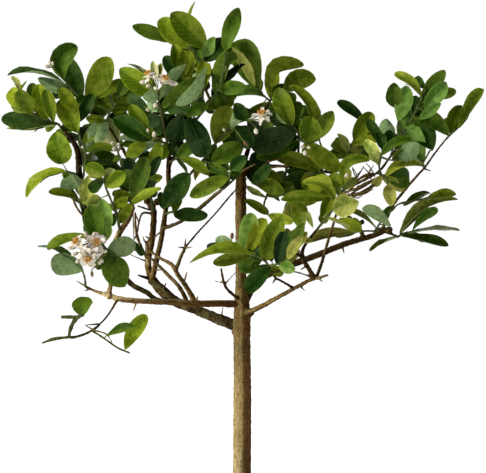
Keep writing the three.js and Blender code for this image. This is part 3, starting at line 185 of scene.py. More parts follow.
# Wood: name, the limb it grows from, and its points as column, row, depth and radius. A depth below 0 is
# nearer to the viewer. A limb starts on the axis of the one it grows from.
LIMBS = [
    ["trunk", None, [[241.5, 545, 0, 11.4], [241.5, 503, 0, 12.8], [241.5, 494, 0, 11.6],
        [241.9, 473, 0, 11.1], [242.3, 400, 0, 11], [242, 340, 0, 10.2], [242, 318, 0, 10.5],
        [241.5, 302, 0, 9], [241, 288, 0, 7], [241, 260, 0, 6.6], [240.8, 215, 0, 6.7], [241, 176, 0, 6.2],
        [241, 168, 0, 3.4]]],
    ["right_main", "trunk", [[244, 312, 0, 5.5], [249, 293, 10, 5.2], [263, 277, 24, 4.8],
        [288, 266, 40, 4.4], [315, 256, 56, 4], [345, 244, 70, 3.9], [372, 236, 80, 3.5],
        [386, 231, 84, 2.6]]],
    ["left_main", "trunk", [[240, 328, 0, 7.2], [222, 320.5, 20, 6.8], [205, 313.5, 40, 6.2],
        [190, 307.5, 56, 6], [175, 301, 68, 6.4], [162, 290.5, 76, 6.6], [151, 279, 80, 5.6]]],
    ["left_riser", "left_main", [[151, 279, 80, 4.4], [148, 262, 84, 4.2], [152, 240, 92, 4],
        [154, 213, 100, 3.8], [151, 203, 103, 3]]],
    ["left_inner_riser", "left_main", [[152, 280, 80, 3.8], [156, 262, 60, 3.5], [160.5, 243, 44, 3.3],
        [163.5, 225, 32, 3.3], [166, 208, 24, 3.1], [168.5, 190, 16, 3.2], [168.5, 170, 12, 3],
        [169, 152, 8, 2.6]]],
    ["low_left", "trunk", [[238, 304, 0, 4.6], [215, 303.6, -20, 4.2], [190, 303.6, -36, 4],
        [165, 302, -48, 3.8], [140, 301, -56, 3.4], [120, 299, -60, 3.5], [104, 294, -60, 3.2]]],
    ["low_left_end", "low_left", [[104, 294, -60, 2.4], [95, 291, -60, 1.9], [88, 288, -60, 1.5]]],
    ["outer_riser", "low_left", [[165, 303, -48, 3.2], [155, 299, -44, 3.2], [147, 292.5, -40, 3.2],
        [130, 283, -28, 3.2], [115, 262, -24, 3.3], [98, 240, -20, 3.3], [86, 212, -16, 3.3],
        [81, 190, -16, 3.4], [79, 172, -16, 3.9], [78.5, 155, -16, 3.9], [74, 143, -16, 3.2],
        [67, 134, -16, 2.5], [60, 126, -16, 1.7]]],
    ["tan_riser", "low_left", [[109, 295, -60, 3], [111, 281, -56, 2.8], [110, 265, -52, 2.8],
        [113, 248, -48, 2.9], [119.5, 233, -46, 3.5], [128, 220, -44, 3.3], [134, 207, -44, 2.2]]],
    ["low_inner", "low_left", [[188, 303, -36, 3], [180, 288, -12, 2.7], [170, 277, 8, 2.4],
        [160, 267, 24, 2.1], [147, 255, 40, 1.5], [134, 250, 52, 1.3]]],
    ["low_front", "low_left", [[196, 303, -36, 3.4], [187, 288, -44, 3.1], [178, 275, -52, 2.7],
        [172, 265, -52, 2.6], [160, 258, -48, 1.9], [148, 250, -40, 1.5]]],
    ["low_fork", "low_front", [[176, 271, -52, 2.4], [180, 259, -54, 2.2], [184, 250, -58, 2],
        [186, 246, -60, 1.6]]],
    ["long_thin", "low_fork", [[186, 247, -60, 1.4], [200, 230, -40, 1.3], [215, 214, -12, 1.3],
        [231, 195, 20, 1.3], [240, 186, 32, 1.2], [250, 175, 44, 1.1]]],
    ["front_twig", "trunk", [[241, 301, 0, 2.2], [229, 291, -22, 2], [224, 283, -36, 1.8],
        [221, 268, -40, 1.3]]],
    ["front_twig_left", "front_twig", [[224, 283, -36, 1.1], [214, 281, -40, 0.8]]],
    ["front_twig_right", "front_twig", [[225, 284, -36, 1.1], [236, 272, -40, 0.8]]],
    ["left_spur", "left_main", [[222, 317, 20, 1.6], [223, 307, 8, 0.9]]],
    ["right_low", "trunk", [[246, 315, 0, 3.8], [262, 306, -28, 3.2], [280, 296, -56, 2.8],
        [295, 288, -80, 2.5], [310, 280, -100, 2.2], [318, 278, -108, 2], [328, 275, -116, 1.5]]],
    ["right_low_inner", "right_low", [[294, 289, -80, 2], [285, 283, -92, 1.6], [276, 278, -102, 1.6],
        [271, 272, -106, 1.6]]],
    ["right_low_bow", "right_low", [[314, 279, -104, 1.6], [306, 275, -108, 1.2], [290, 271, -108, 1.2],
        [275, 272, -106, 1.3], [271, 273, -106, 1.3]]],
    ["right_fork", "right_low", [[316, 278, -106, 2.2], [322, 262, -92, 2], [326, 248, -76, 1.9],
        [329, 238, -64, 1.8], [333, 225, -56, 1.7], [337, 212, -52, 1.6]]],
    ["right_hook", "right_low", [[315, 278, -106, 2.6], [307, 266, -112, 2.8], [302, 257, -116, 2.6],
        [304, 247, -112, 2], [311, 237, -108, 1.7], [319, 227, -104, 1.6]]],
    ["right_crown", "right_main", [[364, 238, 77, 2.9], [358, 226, 72, 2.6], [349, 217, 60, 2.4],
        [341, 207, 48, 2.3], [338, 198, 40, 2.2], [344, 190, 32, 2], [360, 182, 28, 1.9],
        [378, 172, 24, 1.7], [388, 160, 20, 1.6], [398, 146, 16, 1.5]]],
    ["right_strand", "right_crown", [[341, 206, 46, 1.8], [351, 194, 24, 1.4], [365, 186, 18, 1.3],
        [375, 180, 16, 1]]],
    ["right_strand_low", "right_strand", [[352, 194, 24, 1.3], [362, 192, 30, 1.1], [372, 187, 28, 0.9]]],
    ["right_strand_top", "right_crown", [[345, 190, 32, 1.4], [355, 178, 38, 1.2], [363, 168, 36, 0.9]]],
    ["right_upright", "right_crown", [[358, 183, 28, 1.4], [352, 168, 20, 0.9]]],
    ["long_right", "right_main", [[381, 232, 82, 2.4], [392, 207, 72, 2], [405, 190, 60, 1.8],
        [415, 178, 52, 1.7], [425, 167, 44, 1.6], [435, 153, 36, 1.4], [446, 139, 28, 1.3]]],
    ["right_tip", "right_main", [[385, 231, 84, 2.2], [396, 236, 88, 1.6]]],
    ["cross_left", "left_inner_riser", [[165, 229, 32, 2.6], [182, 221, 16, 2.3], [200, 208, 8, 2.6],
        [215, 195, 0, 2.3], [230, 183, -20, 1.6], [243, 171, -28, 1.4], [256, 164, -32, 1.2]]],
    ["crown_right", "trunk", [[241, 177, 0, 3], [256, 167, 16, 2.3], [275, 166, 28, 2.1],
        [300, 167, 40, 1.9], [318, 170, 48, 1.8], [335, 172, 52, 1.7], [345, 158, 56, 1.5]]],
    ["crown_rise", "crown_right", [[298, 167, 40, 2], [298, 155, 24, 1.8], [299, 143, 8, 1.6]]],
    ["crown_top", "trunk", [[241, 176, 0, 3.6], [248, 150, 24, 2.8], [258, 125, 40, 2.3],
        [267, 106, 44, 1.8]]],
    ["crown_top_left", "trunk", [[241, 178, 0, 3.4], [236, 150, 32, 2.6], [222, 120, 60, 2.3],
        [208, 95, 72, 2], [201, 76, 70, 1.7]]],
    ["slender", "left_inner_riser", [[168, 207, 24, 2], [180, 188, 8, 1.6], [192, 172, -4, 1.5]]],
    ["upper", "left_inner_riser", [[170, 168, 12, 2], [182, 140, 8, 1.7]]],
    ["far_riser", "left_riser", [[152, 207, 102, 3], [146, 195, 112, 2.5], [135, 172, 120, 2.2],
        [120, 145, 120, 2], [105, 122, 112, 1.7], [92, 111, 104, 1.4], [84, 103, 100, 1.3]]],
    ["hanging_left", "left_riser", [[152, 214, 100, 1.8], [143, 213, 92, 1.6], [139, 222, 80, 1.5],
        [137, 233, 68, 1.4], [133, 242, 60, 0.8]]],
    ["pale_left", "left_riser", [[148, 262, 84, 1.5], [138, 258, 68, 1], [127, 253, 52, 0.8]]],
    ["broken_stub", "left_riser", [[149, 268, 83, 3], [147.5, 256, 78, 2.8], [147, 247, 75, 2.5],
        [146.5, 241, 73, 2]]],
    ["lowest", "low_left", [[118, 299, -60, 1.8], [108, 315, -72, 1.4], [99, 325, -80, 1.3]]],
]

# Thorns and dead stubs: the limb, where on it, the tip, and the radius at the foot
THORNS = [
    ["right_main", [342, 244], [344, 253, 60], 1.1], ["low_left", [137, 301], [133, 311, -62], 1.1],
    ["low_left", [196, 303], [198, 295, -44], 1.1], ["low_front", [184, 283], [187, 272, -58], 1.1],
    ["right_low", [300, 286], [305, 291, -98], 1], ["right_low", [318, 278], [323, 282, -116], 1],
    ["long_right", [424, 169], [431, 171, 38], 0.9], ["left_main", [151, 279], [138, 275, 70], 1.7],
    ["left_inner_riser", [155, 270], [161, 270, 56], 1.2],
    ["right_hook", [302, 257], [295, 253, -122], 1.6], ["low_fork", [185, 248], [192, 247, -66], 1],
    ["low_left_end", [90, 289], [84, 291, -62], 1], ["low_fork", [185, 248], [185.5, 238, -62], 1.1],
    ["low_fork", [185, 248], [178, 247, -64], 0.9], ["low_left_end", [92, 290], [76.5, 281, -58], 1.3],
    ["lowest", [100, 324], [85, 325, -84], 0.9], ["left_main", [163, 291], [166, 283, 60], 1],
    ["right_low_inner", [276, 278], [272, 284, -100], 1], ["right_crown", [349, 217], [343, 222, 52], 1.1],
    ["right_hook", [307, 266], [300, 270, -118], 1], ["tan_riser", [112, 256], [118, 252, -52], 1],
    ["left_riser", [152, 240], [145, 236, 84], 1.1], ["left_inner_riser", [163, 229], [171, 226, 24], 1.2],
]

# Dry twigs, most of them at the limb on the right, as columns, rows, depths and radii
STRANDS = [
    [[343, 193, 32, 1.6], [355, 189, 18, 1.4], [367, 184, 14, 1.3], [380, 176, 16, 1]],
    [[345, 195, 30, 1.3], [356, 195, 20, 1.2], [367, 191, 16, 1], [378, 183, 18, 0.7]],
    [[349, 191, 26, 1.3], [357, 183, 20, 1.2], [367, 179, 18, 1.1], [378, 172, 20, 0.9]],
    [[343, 189, 30, 1.1], [352, 186, 20, 1], [361, 177, 18, 0.9], [373, 173, 20, 0.7]],
    [[346, 192, 28, 1], [356, 198, 22, 0.9], [362, 196, 22, 0.5]],
    [[353, 186, 26, 0.9], [357, 176, 22, 0.8], [352, 167, 20, 0.5]],
    [[355, 182, 26, 0.9], [360, 173, 22, 0.7], [364, 166, 22, 0.5]],
    [[371, 179, 24, 1], [368, 172, 20, 0.8], [363, 167, 20, 0.5]],
    [[359, 183, 24, 0.9], [367, 177, 18, 0.8], [371, 169, 18, 0.5]],
    [[357, 181, 24, 0.8], [364, 175, 18, 0.7], [371, 173, 18, 0.4]],
    [[135, 212, 70, 0.9], [137, 218, 74, 0.9], [139, 223, 80, 0.8]],
    [[138, 206, 88, 0.9], [147, 209, 96, 1.1], [151, 210, 101, 1]],
    [[148, 246, 74, 1.2], [144, 240, 70, 0.9], [143, 236, 68, 0.4]],
    [[147, 244, 73, 1.1], [149, 239, 68, 0.9], [151, 236, 66, 0.4]],
    [[85, 325, -88, 0.9], [94, 330, -88, 0.9], [106, 334, -92, 0.8], [112, 342, -94, 0.6]],
    [[152, 251, 86, 1], [156, 256, 74, 1], [160, 258, 60, 0.9]],
    [[154, 238, 90, 1.1], [158, 234, 62, 1], [162, 231, 40, 0.9]],
    [[344, 187, 30, 1.4], [354, 182, 20, 1.3], [366, 176, 18, 1.2], [377, 173, 20, 0.9]],
    [[347, 196, 24, 1.2], [359, 193, 18, 1.2], [371, 186, 18, 1], [381, 178, 20, 0.8]],
    [[352, 197, 22, 1], [364, 194, 18, 0.9], [373, 189, 18, 0.6]],
    [[357, 187, 20, 1.4], [369, 182, 16, 1.4], [378, 177, 18, 1]],
    [[366, 180, 18, 1], [369, 172, 18, 0.8], [374, 165, 18, 0.5]],
    [[375, 177, 20, 0.9], [371, 169, 20, 0.7], [366, 163, 20, 0.4]],
    [[257, 173, 8, 1.2], [268, 162, 2, 1.1], [281, 159, -4, 0.7]],
    [[261, 169, 8, 1.3], [275, 167, 2, 1.2], [289, 166, -2, 1]],
    [[72, 197, -36, 0.8], [75, 204, -34, 1.1], [79, 211, -32, 1.2], [84, 216, -30, 1.1]],
    [[135, 213, 60, 1.3], [136, 231, 66, 1.6], [141, 247, 72, 1.9], [149, 262, 80, 1.8]],
]

# Leaves further in among the others, by spray, in rows like those of the leafy sprays below. Each stands
# a little behind its foot, unless a ninth value says how far.
INNER_LEAVES = {
    "spray_far_left": [[30, 112, 10, 104, 9, 3], [21, 90, 27, 81, 3, 3], [57, 124, 44, 131, 6, 3]],
    "spray_left_top": [[70, 91, 51, 95, 10, 0], [88, 105, 104, 118, 13, 2], [90, 104, 103, 98, 12, 3],
        [98, 98, 123, 80, 11, 3], [79, 99, 76, 112, 9, 3], [62, 78, 60, 62, 5, 8]],
    "spray_left_inner": [[78, 130, 60, 124, 9, 2], [77, 122, 71, 103, 8, 0], [81, 138, 66, 137, 9, 0],
        [75, 104, 86, 97, 9, 2], [84, 143, 92, 133, 9, 3]],
    "spray_left_high": [[118, 97, 143, 94, 8, 3], [107, 121, 120, 112, 8, 0], [108, 120, 95, 144, 13, 6],
        [111, 110, 127, 112, 12, 3], [114, 105, 134, 106, 10, 3], [117, 98, 132, 84, 11, 1]],
    "spray_left_shelf": [[121, 156, 108, 163, 9, 0], [120, 158, 129, 168, 10, 1],
        [118, 151, 97, 144, 8, 3]],
    "spray_left_side": [[70, 173, 62, 176, 6, 3], [72, 173, 62, 190, 9, 6]],
    "spray_left_low": [[80, 203, 68, 190, 7, 1], [79, 203, 93, 196, 9, 10]],
    "spray_left_rise": [[104, 179, 84, 176, 5, 8], [105, 184, 119, 179, 9, 2], [116, 213, 108, 226, 9, 1],
        [113, 205, 128, 200, 9, 4], [118, 222, 127, 204, 8, 3]],
    "spray_left_mid": [[134, 197, 112, 193, 9, 4], [137, 193, 129, 203, 7, 1], [144, 184, 158, 197, 9, 1],
        [138, 192, 118, 180, 10, 1], [149, 177, 142, 160, 10, 0], [134, 241, 143, 256, 6, 1]],
    "spray_dark_stem": [[140, 165, 149, 151, 10, 1, 0, 0.5, 4], [140, 182, 124, 164, 11, 1],
        [146, 190, 154, 172, 9, 1], [129, 176, 115, 169, 9, 0]],
    "spray_blossom_left": [[104, 248, 117, 262, 9, 1], [98, 241, 84, 222, 10, 1],
        [107, 251, 96, 270, 9, 2], [101, 244, 110, 226, 9, 3]],
    "spray_blossom_top": [[157, 112, 149, 100, 10, 6], [146, 141, 126, 157, 12, 4],
        [163, 142, 152, 134, 9, 8], [166, 143, 161, 160, 10, 3], [170, 140, 174, 156, 8, 0],
        [156, 82, 153, 61, 7, 9], [158, 82, 161, 63, 6, 8], [152, 84, 141, 66, 5, 8],
        [164, 84, 178, 68, 5, 6], [160, 108, 172, 90, 12, 1], [162, 118, 146, 122, 13, 0],
        [164, 130, 180, 118, 13, 0], [152, 114, 137, 110, 10, 2], [163, 124, 152, 133, 11, 1],
        [165, 134, 177, 141, 10, 0], [158, 98, 172, 82, 10, 6]],
    "spray_top_left": [[203, 62, 191, 46, 12, 2], [202, 66, 192, 64, 10, 3], [204, 56, 190, 34, 12, 1],
        [195, 52, 184, 62, 10, 2], [205, 50, 213, 40, 8, 6], [190, 47, 176, 50, 9, 0]],
    "spray_upper": [[190, 109, 179, 98, 11, 1], [187, 104, 194, 94, 10, 3], [205, 109, 213, 112, 5, 2],
        [197, 104, 209, 63, 9, 6], [185, 82, 197, 70, 11, 2], [204, 84, 193, 74, 11, 6],
        [203, 96, 199, 108, 9, 0], [188, 116, 178, 124, 13, 0], [221, 84, 214, 68, 10, 1],
        [216, 93, 224, 108, 11, 2], [224, 66, 236, 52, 10, 2], [196, 119, 188, 134, 13, 0],
        [212, 99, 222, 84, 10, 0]],
    "spray_upper_right": [[255, 87, 230, 44, 10, 10, 0, 0.5, -14], [270, 101, 284, 84, 11, 2],
        [276, 95, 289, 106, 10, 2]],
    "spray_crown_rise": [[298, 132, 310, 118, 11, 3], [296, 129, 270, 118, 11, 1],
        [299, 141, 284, 152, 12, 0], [293, 127, 299, 100, 11, 2], [299, 138, 272, 136, 13, 0],
        [305, 143, 316, 156, 11, 1], [297, 131, 276, 128, 12, 3]],
    "spray_blossom_mid": [[216, 143, 206, 162, 10, 3], [247, 121, 262, 133, 13, 0],
        [228, 131, 214, 128, 9, 3], [240, 122, 250, 108, 10, 1], [222, 138, 236, 146, 13, 1],
        [209, 154, 222, 164, 10, 1], [206, 159, 218, 172, 9, 2], [232, 127, 222, 112, 10, 2],
        [235, 125, 252, 148, 14, 1]],
    "spray_inner": [[176, 159, 190, 150, 10, 1], [178, 158, 171, 143, 9, 0]],
    "spray_trunk_top": [[253, 182, 258, 150, 14, 0], [252, 183, 247, 160, 10, 1],
        [258, 182, 248, 170, 10, 2], [270, 177, 262, 158, 9, 1], [269, 177, 256, 170, 9, 1]],
    "spray_crown_right": [[309, 172, 286, 171, 9, 1], [308, 171, 290, 178, 10, 0],
        [306, 170, 299, 188, 12, 1], [316, 173, 300, 180, 10, 3], [311, 172, 322, 184, 11, 2],
        [306, 170, 318, 158, 11, 3]],
    "spray_hanging_mid": [[284, 188, 269, 170, 8, 3], [297, 205, 315, 227, 6, 10],
        [285, 190, 298, 196, 10, 2], [291, 201, 300, 214, 11, 8]],
    "spray_right_fork": [[344, 188, 330, 174, 12, 4], [341, 195, 333, 183, 9, 10],
        [345, 187, 349, 168, 8, 8], [336, 203, 349, 196, 11, 8], [343, 190, 357, 178, 8, 8],
        [333, 199, 322, 190, 10, 4]],
    "spray_right_hook": [[331, 212, 322, 224, 6, 10], [333, 210, 345, 198, 10, 8]],
    "spray_right_main": [[361, 231, 352, 218, 8, 3]],
    "spray_crown_end": [[349, 150, 362, 148, 10, 8], [347, 154, 358, 163, 9, 8],
        [361, 128, 378, 138, 10, 3]],
    "spray_right_crown": [[384, 150, 378, 132, 10, 1], [386, 177, 398, 186, 9, 8],
        [392, 160, 404, 152, 10, 2], [380, 165, 371, 152, 9, 10], [383, 176, 372, 186, 8, 8]],
    "spray_long_right": [[433, 150, 415, 120, 21, 1, 0, 0.55, 18], [424, 163, 412, 146, 13, 6]],
    "spray_right_end": [[451, 134, 447, 118, 10, 4]],
    "spray_right_top": [[412, 117, 400, 104, 11, 1], [417, 108, 428, 98, 11, 2], [425, 91, 434, 80, 9, 1],
        [403, 128, 413, 120, 10, 7], [409, 122, 424, 121, 10, 2]],
    "spray_front": [[256, 256, 259, 238, 11, 1], [247, 253, 238, 240, 10, 6], [262, 260, 250, 246, 10, 1],
        [272, 262, 268, 240, 12, 0], [282, 263, 287, 238, 10, 0], [290, 255, 287, 228, 9, 8],
        [290, 254, 307, 232, 8, 8], [250, 255, 230, 256, 9, 2], [268, 265, 256, 276, 12, 1],
        [270, 268, 284, 274, 9, 3], [254, 256, 243, 266, 10, 2], [280, 263, 300, 250, 9, 8]],
    "spray_cross": [[230, 174, 207, 166, 9, 2], [230, 176, 236, 171, 5, 3], [230, 177, 216, 186, 10, 0],
        [229, 179, 240, 168, 9, 1]],
    "spray_rear_outer": [[82, 156, 94, 168, 13, 2, 0, 0.5, 24], [80, 146, 92, 136, 13, 2, 0, 0.5, 24]],
    "spray_rear_mid": [[272, 118, 262, 136, 14, 2, 0, 0.5, 26], [280, 115, 290, 132, 14, 2, 0, 0.5, 26]],
    "spray_rear_right": [[320, 146, 300, 150, 14, 2, 0, 0.5, 25], [324, 152, 338, 168, 13, 2, 0, 0.5, 20],
        [326, 158, 310, 172, 13, 2, 0, 0.5, 30]],
    "spray_rear_end": [[400, 132, 398, 150, 13, 2, 0, 0.5, 20], [403, 124, 420, 118, 12, 2, 0, 0.5, 24],
        [396, 142, 410, 152, 13, 2, 0, 0.5, 20]],
    "spray_mid_left": [[175, 213, 180, 198, 5, 3], [165, 210, 160, 192, 9, 1, 0, 0.5, 6]],
}

